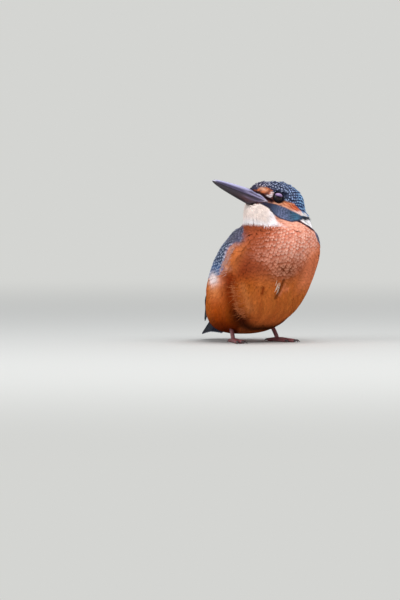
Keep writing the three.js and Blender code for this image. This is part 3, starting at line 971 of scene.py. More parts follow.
# %% All markings
def markings(p):
    """Base and tip colours of the plumage at each point."""
    p = np.asarray(p, float)
    coat = Layers(len(p), BREAST)
    paint_body(coat, p)
    paint_wings(coat, p)
    paint_head(coat, p)
    # Painted shade in the parting along the belly's middle.
    coat.lay(stroke(p, PARTING, 0.9) * 0.95, PARTING_SHADE)
    uneven = 1 + 0.09 * mottle(p)[:, None]
    return coat.base * uneven, coat.tip * uneven


# %% [markdown]
# ## One vane
# A feather's vane is a thin sheet of barbs, arched across and drooping at its tip. It could be
# a flat card with a picture of a feather, but then its edge would need a hole-punched image.
# Here each vane is a closed wedge of real faces, with teeth along its free end where groups of
# barbs part, and the same sheet serves for a crown feather and a belly plume.

# %% Faces of a vane
def vane_faces(rows, columns):
    """Corner numbers of the upper sheet (quads) and of the plain underside."""
    def at(i, j):
        return i * (columns + 1) + j

    def keel(i):
        return (rows + 1) * (columns + 1) + i

    upper = [
        (at(i, j), at(i + 1, j), at(i + 1, j + 1), at(i, j + 1))
        for i in range(rows) for j in range(columns)
    ]
    under = []
    for i in range(rows):
        under.append((at(i, 0), keel(i), keel(i + 1), at(i + 1, 0)))
        under.append((keel(i), at(i, columns), at(i + 1, columns), keel(i + 1)))
    ends = [(keel(rows), at(rows, j + 1), at(rows, j)) for j in range(columns)]
    ends += [(keel(0), at(0, j), at(0, j + 1)) for j in range(columns)]
    return np.array(upper), np.array(under), np.array(ends)


def rows_along(rows):
    """Where the rows lie along a vane: closer towards its tip, which is the part seen."""
    return 1 - (1 - np.linspace(0, 1, rows + 1)) ** 1.6


class Vanes:
    """The corners of many vanes of one pattern.

    path, side and out are (vanes, rows + 1, 3): the middle line of each, and its directions
    across and outward. half is (vanes, rows + 1), its half width. roundness bows the rows,
    fringe cuts the teeth, arch lets the edges drop."""

    def __init__(self, path, side, out, half, columns, roundness=0.4, fringe=0.1, arch=0.15, thick=0.08):
        count, rows = path.shape[0], path.shape[1] - 1
        self.rows, self.columns, self.root = rows, columns, path[:, 0]
        across = np.linspace(-1, 1, columns + 1)
        along = rows_along(rows)
        teeth = np.where(np.arange(columns + 1) % 2 == 1, fringe, 0.0)
        teeth = teeth * rng.uniform(0.4, 1.4, (count, columns + 1))
        reach = along[:, None] * (1 - roundness * along[:, None] * across[None, :] ** 2)
        reach = reach[None] * (1 - teeth[:, None, :])
        # The keel below the middle ends before the teeth do, so that it doesn't fill them.
        keel_reach = np.tile(along * (1 - 1.5 * fringe - 0.02), (count, 1))[..., None]
        pick = np.arange(count)[:, None, None]

        def at(values, reached):
            place = np.interp(reached, along, np.arange(rows + 1))
            low = np.minimum(place.astype(int), rows - 1)
            return mix(values[pick, low], values[pick, low + 1], (place - low)[..., None])

        width = half[:, :, None] * across[None, None, :]
        drop = arch * np.abs(width) * np.abs(across)[None, None, :]
        top = at(path, reach) + at(side, reach) * width[..., None] - at(out, reach) * drop[..., None]
        depth = (thick + 0.5 * arch * half)[..., None]
        keel = at(path, keel_reach)[:, :, 0] - at(out, keel_reach)[:, :, 0] * depth
        self.corners = np.concatenate([top.reshape(count, -1, 3), keel], axis=1)
        # Where each corner lies on its vane: along from 0 to 1, across from -1 to 1.
        self.u = np.concatenate([reach.reshape(count, -1), keel_reach[..., 0]], axis=1)
        self.v = np.tile(np.concatenate([np.tile(across, rows + 1), np.zeros(rows + 1)]), (count, 1))
        length = np.linalg.norm(np.diff(path, axis=1), axis=2).sum(1)
        widest = half.max(axis=1)
        self.size = np.stack([self.v * widest[:, None], self.u * length[:, None]], axis=2)


print("vane", [len(block) for block in vane_faces(5, 12)], "faces")

# %% [markdown]
# ## The bake map
# A viewer needs the colours as an image, so every piece of coat carries a map
# named OFBake. Each feather gets a tiny square patch of it, placed where its root lies on an
# unrolled skin: round the bird from left to right, and from the ground to the crown upwards.
# Patches that would fall on each other are moved to the nearest free square.

# %% Patches for the feathers
PATCH, STEP = 0.003, 0.0034  # side of a patch, and from one to the next, of the map's width
SEARCH = range(-24, 25)
NEAR_CELLS = sorted(((i, j) for i in SEARCH for j in SEARCH), key=lambda o: (o[0] ** 2 + o[1] ** 2, o))
TOP, HEAD_FROM, HEAD_Y = 90, 67, -23  # full height, where the head starts and its axis, mm
taken = set()


def unroll(p):
    """Where a point lies on the unrolled skin, from 0 to 1 both ways."""
    height = p[:, 2]
    level = np.clip(height / TOP, 0, 1)
    middle_x, middle_y = -3 * ease(50, 70, height), np.where(height < HEAD_FROM, axis_y(height), HEAD_Y)
    turn = np.arctan2(p[:, 0] - middle_x, middle_y - p[:, 1]) / (2 * math.pi) + 0.5
    return np.stack([0.02 + 0.95 * turn, 0.02 + 0.95 * level], 1)


def patches(roots):
    """The low corner of a free patch for each root."""
    cells = np.floor(unroll(roots) / STEP).astype(int)
    limit = int(1 / STEP) - 1
    found = []
    for cell in cells:
        for step in NEAR_CELLS:
            spot = (min(max(cell[0] + step[0], 0), limit), min(max(cell[1] + step[1], 0), limit))
            if spot not in taken:
                break
        taken.add(spot)
        found.append(spot)
    return np.array(found) * STEP


# %% [markdown]
# ## Feather finish
# The colour comes from the corners of each vane. Barbs run out from the shaft at a slant, too
# fine to model, so they are a faint ripple in tone and bump, set by a second map that
# measures each vane in mm. Feathers are soft, so a little sheen catches light at the edges.

# %% Feather materials
BARB_GAP = 0.32  # mm


def feather_finish(name, roughness, sheen, specular, contrast=0.10, bump=0.25):
    """A material of barbs that slant out from a shaft."""
    made, shader = new_material(name, {
        "Sheen Weight": sheen, "Sheen Roughness": 0.5, "Specular IOR Level": specular,
    })
    vane = node(made, "UVMap", uv_map="Vane")
    parts = node(made, "SeparateXYZ", {0: vane}).node.outputs
    aside = node(made, "Math", {0: parts[0]}, operation="ABSOLUTE")
    slant = node(made, "Math", {0: aside, 1: -0.8, 2: parts[1]}, operation="MULTIPLY_ADD")
    wobble = node(made, "TexNoise", {"Vector": vane, "Scale": 1.5, "Detail": 2.0})
    phase = node(made, "Math", {0: wobble, 1: 0.8, 2: slant}, operation="MULTIPLY_ADD")
    angle = node(made, "Math", {0: phase, 1: 2 * math.pi / BARB_GAP}, operation="MULTIPLY")
    wave = node(made, "Math", {0: angle}, operation="SINE")
    shaft = node(made, "MapRange", {0: aside, 1: 0.02, 2: 0.10, 3: 1.0, 4: 0.0})
    grain = node(made, "Math", {0: wave, 1: contrast, 2: 1.0}, operation="MULTIPLY_ADD")
    grain = node(made, "Math", {0: shaft, 1: -0.12, 2: grain}, operation="MULTIPLY_ADD")
    tint = node(made, "Attribute", attribute_name="tint")
    colour = node(made, "VectorMath", {0: tint, "Scale": grain}, operation="SCALE")
    wire(made, colour, shader.inputs["Base Color"])
    dull, bright = roughness + 0.06, roughness - 0.06
    rough = node(made, "MapRange", {0: wave, 1: -1.0, 2: 1.0, 3: bright, 4: dull})
    wire(made, rough, shader.inputs["Roughness"])
    raised = node(made, "Math", {0: shaft, 1: 2.0, 2: wave}, operation="MULTIPLY_ADD")
    bumped(made, shader, raised, bump, 0.06)
    return made


soft_feather = feather_finish("soft_feather", 0.85, 0.0, 0.02)
blue_feather = feather_finish("blue_feather", 0.5, 0.02, 0.35)
quill_feather = feather_finish("quill_feather", 0.4, 0.0, 0.5, contrast=0.14, bump=0.4)


# %% [markdown]
# All the feathers of a tract make one piece, since Blender is quicker with a few big meshes
# than with thousands of small ones. A piece that would grow too big is split from right to left.

# %% Hand over the vanes
LIMIT = 190_000  # triangles in one piece


def finish_vanes(name, vanes, tint, material, slot, *replaced):
    """One or more pieces from some vanes, split so that none grows too big."""
    count, per = vanes.u.shape
    pattern = vane_faces(vanes.rows, vanes.columns)
    triangles_each = sum(len(block) * (block.shape[1] - 2) for block in pattern)
    parts = math.ceil(count * triangles_each / LIMIT)
    low = patches(vanes.root)
    bake = low[:, None, :] + PATCH * np.stack([(vanes.v + 1) / 2, np.clip(vanes.u, 0, 1)], axis=2)
    order = np.argsort(vanes.root[:, 0], kind="stable")
    for number, chosen in enumerate(np.array_split(order, parts)):
        shift = (np.arange(len(chosen)) * per)[:, None, None]
        blocks = [(block[None] + shift).reshape(-1, block.shape[1]) for block in pattern]
        label = name if parts == 1 else f"{name}_{number + 1}"
        piece = make_piece(label, vanes.corners[chosen].reshape(-1, 3), blocks, flat=2)
        give_tint(piece, tint[chosen].reshape(-1, 3))
        give_map(piece, "OFBake", bake[chosen].reshape(-1, 2))
        give_map(piece, "Vane", vanes.size[chosen].reshape(-1, 2))
        finish_piece(piece, material, slot, *(replaced if number == 0 else ()))


# %% [markdown]
# ## Planting the coat
# Feathers grow in staggered rows, like roof tiles. A plain random scatter looks ruffled, so
# roots are grown from a few seeds: each root proposes six neighbours, two beside it and four
# half a step over in the next rows, and a place that is already crowded is refused.

# %% Grow rows of roots
CELL = 3.6  # of the grid that finds near roots, mm
AT_ONCE = 48  # roots looked at together, for speed
CROWDED = 0.62  # squared distance to the next root, in gaps, below which a place is refused
NEIGHBOURS = ((0, 1), (0, -1), (1, 0.5), (1, -0.5), (-1, 0.5), (-1, -0.5))  # gaps along, across


def plant(seeds, spacing, inside):
    """Roots in staggered rows. spacing gives (across, along) in mm, inside says where."""
    cells, roots, outs, lies = {}, [], [], []
    queue = deque(np.array(s, float) for s in seeds)
    around = [np.array((i, j, k)) for i in (-1, 0, 1) for j in (-1, 0, 1) for k in (-1, 0, 1)]
    while queue:
        batch = [queue.popleft() for _ in range(min(len(queue), AT_ONCE))]
        at, out = settle(np.array(batch))
        way = lie(at, out)
        side = np.cross(out, way)
        gap_across, gap_along = spacing(at)
        keep = inside(at)
        for k in np.flatnonzero(keep):
            p, d, s = at[k], way[k], side[k]
            cell = (p // CELL).astype(int)
            near = [root for o in around for root in cells.get(tuple(cell + o), ())]
            if near:
                gap = np.array(near) - p
                apart = ((gap @ d) / gap_along[k]) ** 2 + ((gap @ s) / gap_across[k]) ** 2
                if (apart + (gap @ out[k]) ** 2 / 2).min() < CROWDED:
                    continue
            cells.setdefault(tuple(cell), []).append(p)
            roots.append(p)
            outs.append(out[k])
            lies.append(d)
            for step, over in NEIGHBOURS:
                queue.append(p + d * step * gap_along[k] + s * over * gap_across[k])
    return np.array(roots), np.array(outs), np.array(lies)


# %% [markdown]
# Each tract of the coat has its own feather: tiny and tight on the face, tile-like on the
# breast, long and loose on belly and flanks. Lengths and widths flow from one to the next.

# %% Sizes of the feathers
def feather_sizes(p):
    """Length, half width, gap across and gap along at each point, mm."""
    forward, sideways, up = on_head(p)
    head = headness(p)
    crown = above(up, forward, CROWN_LOW, 0.4) * head
    by_eye = ease(4.4, 3.2, from_eye(forward, up)) * (np.abs(sideways) > 3)
    face = np.maximum(ease(8.0, 11, forward), by_eye) * head
    values = np.tile((6.2, 1.6, 2.0, 1.5), (len(p), 1))
    for share, tract in (
        (1 - ease(26, 40, p[:, 2]), (8.4, 0.85, 1.0, 1.6)),
        (ease(52, 60, p[:, 2]) * (1 - head), (4.6, 1.3, 1.7, 1.35)),
        (spread(p, (-23.5, -23.5, 52), (6, 6, 8)), (6.2, 1.9, 1.6, 1.4)),
        (blue_back(p), (6.6, 1.7, 2.6, 2.4)),
        (wing_share(p), (4.6, 1.25, 1.9, 1.7)),
        (throat_share(p), (4.8, 0.6, 0.7, 1.05)),
        (head * (1 - throat_share(p)), (3.0, 0.55, 0.8, 1.0)),
        (crown, (3.3, 0.8, 1.4, 1.5)),
        (crown * ease(-3, -8, forward), (4.6, 0.85, 1.45, 2.0)),
        (crown * ease(8, 12, forward), (2.7, 0.64, 1.15, 1.2)),
        (face * (1 - crown), (2.0, 0.4, 0.65, 0.7)),
    ):
        values = mix(values, np.array(tract), share[:, None])
    return values.T


# %% [markdown]
# Nothing roots on the bare sides of the bill, in the opening of the eye, where a leg comes out,
# or where a long quill would hide it.

# %% Where feathers may root
WEDGE_TOP = [(11.2, -2.0), (14, 0.1), (16.6, 1.2), (18.4, 1.6), (30, 1.6)]
WEDGE_LOW = [(11.2, -2.8), (14.5, -4.4), (18, -6.0), (20.3, -7.2), (30, -7.2)]
QUILL_FRONT = [(20, 66), (28, 59), (35, 50), (39.5, 32)]
LEGS = {"right": (-13.2, 1.5), "left": (13.2, -2.0)}  # where they meet the ground
EYE_OPENING, LEG_BARE = 2.75, 1.6
SEEDS = [(0, -44, 50), (0, -20, 88), (-27, 0, 45), (27, 0, 45), (0, 10, 55), (0, 20, 20), (-14, -24, 70)]


def on_bill_wedge(p):
    """Where the bill's bare sides run back to the gape."""
    forward, _, up = on_head(p)
    top, bottom = stepped(forward, WEDGE_TOP), stepped(forward, WEDGE_LOW)
    return (up < top - 0.1) & (up > bottom + 0.1) & (forward > WEDGE_TOP[0][0])


def on_eye(p):
    """Where the eyes and their lids show."""
    forward, sideways, up = on_head(p)
    return (from_eye(forward, up) < EYE_OPENING) & (np.abs(sideways) > 4)


def on_leg(p):
    """Where the legs come out of the belly."""
    near = [near_line(p, [(x, y + 5, 15), (x, y, 0)]) for x, y in LEGS.values()]
    return np.minimum(*near) < LEG_BARE


def on_quills(p):
    """Where long wing quills cover the skin, or the tail grows."""
    tail = (np.abs(p[:, 0]) < 8) & (p[:, 1] > 27) & (p[:, 2] > 14)
    behind = bearings(p) > stepped(p[:, 2], QUILL_FRONT)
    return tail | ((wing_share(p) > 0.5) & (p[:, 2] < QUILL_FRONT[-1][0]) & behind)


def coat_grows(p):
    """True where feathers root."""
    return ~(on_bill_wedge(p) | on_eye(p) | on_leg(p) | on_quills(p))


roots, outs, lies = plant(SEEDS, lambda p: feather_sizes(p)[2:], coat_grows)
print("coat roots", len(roots))

# %% [markdown]
# Every root now gets its vane. The middle line is walked over the skin, rising from the root
# to the top of the coat, so each feather overlaps the next one behind it.

# %% Walk over the skin
def walk(roots, outs, lies, lengths, lifts, rows, climb, droop=0.03):
    """Middle lines over the skin, with their directions across and outward."""
    count = len(roots)
    path, side, out = (np.zeros((count, rows + 1, 3)) for _ in range(3))
    p, n, d = roots.copy(), outs.copy(), lies.copy()
    along = rows_along(rows)
    for i in range(rows + 1):
        u = along[i]
        rise = -0.15 + (lifts + 0.15) * (1 - (1 - u) ** climb) - droop * u**6
        path[:, i] = p + n * rise[:, None]
        side[:, i] = np.cross(n, d)
        out[:, i] = n
        if i < rows:
            p, n = settle(p + d * (lengths * (along[i + 1] - u))[:, None])
            d = unit(d - (d * n).sum(1, keepdims=True) * n)
    return path, unit(side), out


def turned(lies, outs, degrees):
    """Lies swung sideways by some degrees."""
    angle = np.radians(degrees)[:, None]
    return unit(lies * np.cos(angle) + np.cross(outs, lies) * np.sin(angle))


# %% [markdown]
# Each tract is laid with its own pattern. The barbs of a belly feather part in coarse teeth,
# while a wing covert has a closed edge and a small pale spot at its tip.

# %% Lay the coat
def coat_tint(vanes, lies, lengths, tip_from=0.78, tip_ramp=0.12, spot_width=0.6, spot_ramp=0.35,
              shade=0.04, root_dark=0.9, strand=0.04):
    """Colours of the coat's corners: the markings where the feather shows, its own pale tip,
    and a little chance from feather to feather and from strand to strand."""
    count, per = vanes.u.shape
    hidden = np.clip(0.6 - vanes.u, 0, 1)[..., None]
    spot = vanes.corners + (lies * lengths[:, None])[:, None, :] * hidden
    base, tip = markings(spot.reshape(-1, 3))
    base, tip = base.reshape(count, per, 3), tip.reshape(count, per, 3)
    edge = ease(tip_from, tip_from + tip_ramp, vanes.u)
    edge = edge * (1 - ease(spot_width, spot_width + spot_ramp, np.abs(vanes.v)))
    edge = edge * np.clip(rng.normal(0.85, 0.2, count), 0, 1)[:, None]
    light = rng.normal(1, shade, count)[:, None] * mix(root_dark, 1.0, ease(0.1, 0.55, vanes.u))
    strands = np.tile(rng.normal(1, strand, (count, vanes.columns + 1)), (1, vanes.rows + 1))
    light[:, :strands.shape[1]] *= strands
    return mix(base, tip, edge[..., None]) * light[..., None]


def build_coat(name, chosen, material, slot, rows, columns, look=(), ruffle=0.0, climb=1.9, **shape):
    """The coat of the chosen roots. look is what coat_tint takes, shape what Vanes takes."""
    p, n, d = roots[chosen], outs[chosen], lies[chosen]
    length, half = feather_sizes(p)[:2]
    count = len(p)
    length = length * rng.uniform(0.9, 1.12, count)
    d = turned(d, n, rng.normal(0, 3, count))
    lift = coat_depth(p) * rng.uniform(0.985, 1.0, count) + ruffle * rng.uniform(0, 1, count) ** 4
    path, side, out = walk(p, n, d, length, lift, rows, climb)
    along = rows_along(rows)
    swell = np.sqrt(np.clip(along * 1.6, 0, 1)) * (1 - 0.1 * along**2) * 0.9 + 0.1
    half = (half * rng.uniform(0.92, 1.08, count))[:, None] * swell[None, :]
    vanes = Vanes(path, side, out, half, columns, **shape)
    finish_vanes(name, vanes, coat_tint(vanes, d, length, **dict(look)), material, slot)


is_head = headness(roots) > 0.5
is_throat = throat_share(roots) > 0.5
is_wing = wing_share(roots) > 0.5
is_back = (blue_back(roots) > 0.5) & ~(is_wing | is_head | is_throat)
forward, _, up = on_head(roots)
is_cap = is_head & (up > stepped(forward, CROWN_LOW)) & ~is_throat
is_hind_crown = is_cap & (forward < -4)
is_crown = is_cap & ~is_hind_crown
is_face = is_head & ~is_cap & ~is_throat
rest = ~(is_head | is_throat | is_wing | is_back)
is_low = rest & (roots[:, 2] < 37)
close = {"roundness": 0.42, "fringe": 0.08, "arch": 0.09}

build_coat("coat_throat", is_throat, soft_feather, "feathers_white", 5, 8,
           {"root_dark": 0.96}, climb=2.4, roundness=0.3, fringe=0.25, arch=0.04)
build_coat("coat_face", is_face, soft_feather, "feathers_orange", 4, 8, fringe=0.2, arch=0.06)
build_coat("coat_crown", is_crown, blue_feather, "feathers_blue", 5, 8,
           {"tip_from": 0.73, "spot_width": 0.48}, ruffle=0.7, **close)
build_coat("coat_hind_crown", is_hind_crown, blue_feather, "feathers_blue", 6, 8,
           {"tip_from": 0.48, "tip_ramp": 0.25, "spot_width": 0.22}, ruffle=0.4, **close)
build_coat("coat_breast", rest & ~is_low, soft_feather, "feathers_orange", 6, 12,
           {"tip_from": 0.68, "tip_ramp": 0.2, "spot_width": 0.5, "spot_ramp": 0.5, "root_dark": 0.95},
           climb=2.4, roundness=0.34, fringe=0.14, arch=0.02)
build_coat("coat_belly", is_low, soft_feather, "feathers_orange", 6, 8,
           {"strand": 0.07, "root_dark": 0.96}, climb=2.9, roundness=0.34, fringe=0.26, arch=0.0)
build_coat("coat_wing", is_wing, blue_feather, "feathers_blue", 6, 12, {"spot_width": 0.4}, **close)
build_coat("coat_back", is_back, blue_feather, "feathers_blue", 6, 12, **close)

# %% [markdown]
# Here and there the coat is not quite in place: down shows where the belly parts, loose plumes
# of the belly's edge reach over the flank, and the dark moustache ends in free points. These
# are drawn out as narrow vanes along short lines.

# %% Loose plumes
def loose_plumes(name, line, count, ways, lengths, half, colours, lift, material, slot, scatter=0.5,
                 straight=0.0, stray=0.12, climb=1.5):
    """Narrow vanes rooted along a line, pointing one way at its start and another at its end."""
    t = np.sort(rng.uniform(0, 1, count))
    places = curve(line, 60)[(t * 59).astype(int)] + rng.normal(0, scatter, (count, 3))
    at, root_out = settle(places)
    d = mix(np.array(ways[0], float), np.array(ways[1], float), t[:, None])
    d = unit(d + rng.normal(0, stray, (count, 3)))
    d = unit(d - (d * root_out).sum(1, keepdims=True) * root_out)
    length = rng.uniform(*lengths, count)
    rows, columns = 7, 4
    lift = coat_depth(at) + lift * rng.uniform(0.4, 1, count)
    path, side, out = walk(at, root_out, d, length, lift, rows, climb)
    along = rows_along(rows)
    run = (along[None, :] * length[:, None])[..., None]
    path = mix(path, path[:, :1] + d[:, None] * run + root_out[:, None] * run * 0.12, straight)
    swell = np.sqrt(np.clip(along * 2.5, 0.02, 1)) * (1 - along**1.6 * 0.9)
    vanes = Vanes(path, side, out, half * rng.uniform(0.7, 1.2, (count, 1)) * swell, columns,
                  roundness=0.1, fringe=0.05, arch=0.1, thick=0.05)
    base, tip = colours
    base = markings(at)[0][:, None, :] if base is None else base
    tint = mix(base, tip, ease(0.1, 0.8, vanes.u)[..., None])
    finish_vanes(name, vanes, tint * rng.normal(1, 0.08, count)[:, None, None], material, slot)


# %% Belly, wing front and throat
ASIDE, DOWN_FALL = -view_right, np.array([0.03, 0.56, -0.83])
BELLY_EDGE = [
    (-22.2, -18.8, 31.2), (-20.8, -18.6, 26.9), (-18.8, -17.6, 22.5), (-16.2, -16.7, 18.6),
    (-13.2, -15.2, 15.3),
]
WING_HEM = [
    (-25.3, -20.8, 54), (-26.9, -18.4, 50), (-27.6, -16.4, 46), (-27.0, -14.6, 42),
    (-26.6, -12.6, 39.5),
]
PARTING_TOP = [(-9.1, -35.6, 35.6), (-8.4, -33.4, 32.0)]
THROAT_EDGE = [(-15.3, -31.3, 66.5), (-11.7, -32.7, 66.4), (-8.6, -32.9, 66.6)]
MOUSTACHE_ENDS = [(-7.5, -4.6), (-9.5, -4.7), (-11.0, -4.9)]  # forward and up on the head

loose_plumes("coat_belly_edge", BELLY_EDGE, 280, (ASIDE + [0, 0, -0.1], ASIDE + [0, 0, -0.9]),
             (5, 9), 0.27, (None, paint(192, 110, 66)), 0.12, soft_feather, "feathers_orange",
             scatter=1.8, climb=2.6, stray=0.09)
loose_plumes("coat_wing_hem", WING_HEM, 210, (ASIDE + [0, 0, -0.3], ASIDE + [0, 0, -0.6]),
             (4.5, 8), 0.25, (None, paint(214, 160, 146)), 0.15, soft_feather, "feathers_orange",
             scatter=0.9, climb=2.6, stray=0.1)
loose_plumes("coat_down", PARTING_TOP, 11, (DOWN_FALL, DOWN_FALL),
             (4.5, 7.5), 0.17, (paint(216, 160, 120), paint(255, 246, 232)), 0.6, soft_feather,
             "feathers_orange", stray=0.06, climb=5.0)
loose_plumes("coat_throat_edge", THROAT_EDGE, 70, ((-0.15, -0.2, -1), (0.05, -0.2, -1)),
             (2.5, 5), 0.3, (THROAT, THROAT), 0.25, soft_feather, "feathers_white")
for side, word in ((1, "left"), (-1, "right")):
    line = [from_head(along, 12.0 * side, height) for along, height in MOUSTACHE_ENDS]
    back = -FORWARD + SIDEWAYS * side * 0.62 + CROWNWARD * 0.46
    loose_plumes(f"coat_moustache_{word}", line, 16, (back, back),
                 (7, 11), 0.36, (paint(58, 84, 108), paint(30, 28, 42)), 0.35, blue_feather,
                 "feathers_blue", scatter=0.22, straight=0.85, stray=0.035)

# %% [markdown]
# ## Wing quills and tail
# Under the small coverts come the greater coverts, then the secondaries that close the folded
# wing, then the primaries that stick out over the rump, and the square tail. Each quill is the
# same vane drawn out long, and each lies a little over its neighbour, the inner ones on top.

# %% Quill helpers
def body_place(height, turn, side, gap):
    """A place over the skin at a height and bearing, and the outward direction there."""
    start = np.array([0, axis_y(height), height])
    ray = np.array([math.cos(math.radians(turn)) * side, math.sin(math.radians(turn)), 0])
    hit = skin_tree.ray_cast(Vector(start + ray * 60), Vector(-ray), 60)
    at, out = settle(np.array([hit[0]]))
    return at[0] + out[0] * gap, out[0]


def quills(name, lines, outs, half, rows, columns, tints, material, slot, *replaced,
           roundness=0.2, fringe=0.02):
    """Long feathers along lines of places, with outward directions at root and tip."""
    along = rows_along(rows)
    path = np.array([curve(line, 41)[np.round(along * 40).astype(int)] for line in lines])
    outs = np.array(outs, float)
    out = unit(mix(outs[:, :1], outs[:, 1:], along[None, :, None]))
    way = unit(np.gradient(path, axis=1))
    side = unit(np.cross(out, way))
    out = np.cross(way, side)
    swell = np.sqrt(np.clip(along * 3 + 0.06, 0, 1)) * (1 - 0.15 * along**3)
    vanes = Vanes(path, side, out, np.tile(half * swell, (len(lines), 1)), columns,
                  roundness=roundness, fringe=fringe, arch=0.10, thick=0.14)
    finish_vanes(name, vanes, tints(vanes), material, slot, *replaced)


def two_webs(outer, inner, tip, flip):
    """A tint with a bright outer web and a dusky inner one."""
    def tints(vanes):
        web = ease(-0.15, 0.15, vanes.v * flip)[..., None]
        colour = mix(inner, outer, web) * mix(0.8, 1.0, ease(0, 0.4, vanes.u))[..., None]
        colour = mix(colour, tip, (ease(0.93, 1.0, vanes.u) * 0.5)[..., None])
        return colour * rng.normal(1, 0.05, len(colour))[:, None, None]
    return tints


# %% Wing feathers
TEAL, DUSK = paint(34, 86, 108), paint(30, 32, 42)
QUILL_BLUE, QUILL_TIP = paint(38, 76, 120), paint(60, 90, 120)
SECONDARIES, GREATER_COVERTS, PRIMARIES = 8, 9, 6  # in each wing


def lines_and_ends(fans):
    """Lines of places and the outward directions at both ends, from (place, outward) rows."""
    lines = [[place for place, _ in places] for places in fans]
    return lines, [[places[0][1], places[-1][1]] for places in fans]


def secondary(k, side):
    """Places along one quill, the outermost first."""
    t, gap = k / (SECONDARIES - 1), 0.35 + 0.13 * k
    return [
        body_place(42 - 0.3 * k, mix(16, 48, t), side, gap - 0.4),
        body_place(35, mix(46, 60, t), side, gap),
        body_place(28, mix(58, 69, t), side, gap),
        body_place(mix(21.5, 23.5, t), mix(62, 79, t), side, gap + 0.3),
    ]


def greater_covert(k, side):
    """Places along one covert, the outermost first."""
    t, gap = k / (GREATER_COVERTS - 1), 0.7 + 0.08 * k
    return [
        body_place(47, mix(8, 50, t), side, gap - 0.5),
        body_place(41.5, mix(9, 54, t), side, gap + 0.2),
        body_place(mix(35.6, 37, t), mix(14, 60, t), side, gap + 0.5),
    ]


def primary(k, side):
    """Places along one quill, the outermost and longest first."""
    t = k / (PRIMARIES - 1)
    root, out = body_place(30, mix(50, 64, t), side, 0.2)
    middle = np.array([mix(9.6, 8.6, t) * side, 31.4 + 0.1 * k, 18.4 + 0.25 * k])
    tip = np.array([mix(5.6, 6.6, t) * side, mix(38.9, 32.5, t), mix(9.9, 17.0, t) + 0.2 * k])
    end = np.array([side * 8, 18, 13]) / 23.6
    return [(root, out), (mix(root, middle, 0.5) + out * 1.2, out), (middle, out), (tip, end)]


for side, word in ((1, "left"), (-1, "right")):
    lines, outs = lines_and_ends([secondary(k, side) for k in range(SECONDARIES)])
    quills(f"secondaries_{word}", lines, outs, 2.7, 10, 12, two_webs(TEAL, DUSK, QUILL_TIP, -side),
           quill_feather, "feathers_blue", roundness=0.12)
    lines, outs = lines_and_ends([greater_covert(k, side) for k in range(GREATER_COVERTS)])
    quills(f"greater_coverts_{word}", lines, outs, 2.1, 7, 12,
           two_webs(QUILL_BLUE, TEAL * 0.8, WING_SPOT, -side),
           blue_feather, "feathers_blue", roundness=0.3)
    lines, outs = lines_and_ends([primary(k, side) for k in range(PRIMARIES)])
    quills(f"primaries_{word}_quills", lines, outs, 2.2, 10, 10,
           two_webs(TEAL * 0.7, DUSK, DUSK * 1.3, -side),
           quill_feather, "feathers_dark_blue", f"primaries_{word}", roundness=0.22)

# %% [markdown]
# The tail is a stack of six pairs that share one low arch, the middle pair on top.

# %% Tail feathers
TAIL_BLUE = paint(28, 66, 128)
OFF_MIDDLE = (6.4, 5.1, 3.85, 2.65, 1.5, 0.45)  # of each pair, the outer pair first
TAIL_UP = np.array([0, 0.7, 0.7])


def tail_tint(vanes):
    """Blue above, darker towards the edges of each feather and below."""
    colour = mix(TAIL_BLUE, DUSK, ease(0.2, 0.9, np.abs(vanes.v))[..., None] * 0.6)
    colour[:, -(vanes.rows + 1):] = DUSK * 0.5
    return colour * rng.normal(1, 0.05, len(colour))[:, None, None]


lines, outs = [], []
for k in range(2 * len(OFF_MIDDLE)):  # the middle pair last and on top
    pair, side = k // 2, 1 if k % 2 else -1
    off = OFF_MIDDLE[pair] * side
    stack = TAIL_UP * (0.13 * k - 0.8)
    arch = -TAIL_UP * (off / 7) ** 2 * 0.7
    root = np.array([off * 0.4, 23, 23.9])
    tip = np.array([off * 0.97, 42.2 - 0.12 * (5 - pair), 3.2 + 0.1 * (5 - pair)])
    middle = mix(root, tip, 0.5) + stack + arch + [0, 0.25, 0.25]
    lines.append([root + stack + arch, middle, tip + stack + arch])
    outs.append([(off / 60, 1, 1), (off / 30, 1, 1)])
quills("tail_feathers", lines, outs, 1.55, 10, 12,
       tail_tint, quill_feather, "feathers_dark_blue", "tail", roundness=0.05)

# %% [markdown]
# ## The skin as a piece
# Between feathers the skin shows only as a darker ground of the same markings.

# %% Skin piece
skin_finish, shader = new_material("skin_under_coat", {"Roughness": 0.85})
pores = node(skin_finish, "TexNoise", {"Scale": 1400.0, "Detail": 3.0})
tinted(skin_finish, shader, pores, 0.3, 0.7, 0.7, 1.0)
bumped(skin_finish, shader, pores, 0.3, 0.1)

skin = make_piece("skin", skin_at, [triangles])
give_tint(skin, markings(skin_at)[0] * 0.85)
give_map(skin, "OFBake", unroll(skin_at))
finish_piece(skin, skin_finish, "feathers_orange", *FLESH)

# %% [markdown]
# ## Smooth solids
# Bill, legs, toes and claws are lofts: closed rings of corners set along a line. It is quicker
# to shape than a sculpted ball, since every ring can follow a formula.

# %% Lofting
def loft(rings):
    """Corners and faces (quads, triangles) of a closed skin over rings of corners."""
    n, m, _ = rings.shape
    i, j = (g.ravel() for g in np.meshgrid(np.arange(n - 1), np.arange(m), indexing="ij"))
    k = (j + 1) % m
    quads = np.stack([i * m + j, i * m + k, (i + 1) * m + k, (i + 1) * m + j], 1)
    j = np.arange(m)
    k = (j + 1) % m
    first = np.stack([np.full(m, n * m), k, j], 1)
    last = np.stack([np.full(m, n * m + 1), (n - 1) * m + j, (n - 1) * m + k], 1)
    corners = np.concatenate([rings.reshape(-1, 3), [rings[0].mean(0), rings[-1].mean(0)]])
    caps = np.concatenate([first, last])
    all_triangles = np.concatenate([quads[:, :3], quads[:, [0, 2, 3]], caps])
    a, b, c = (corners[all_triangles[:, x]] for x in range(3))
    if (np.cross(a, b) * c).sum() < 0:
        quads, caps = quads[:, ::-1], caps[:, ::-1]
    return corners, quads, caps


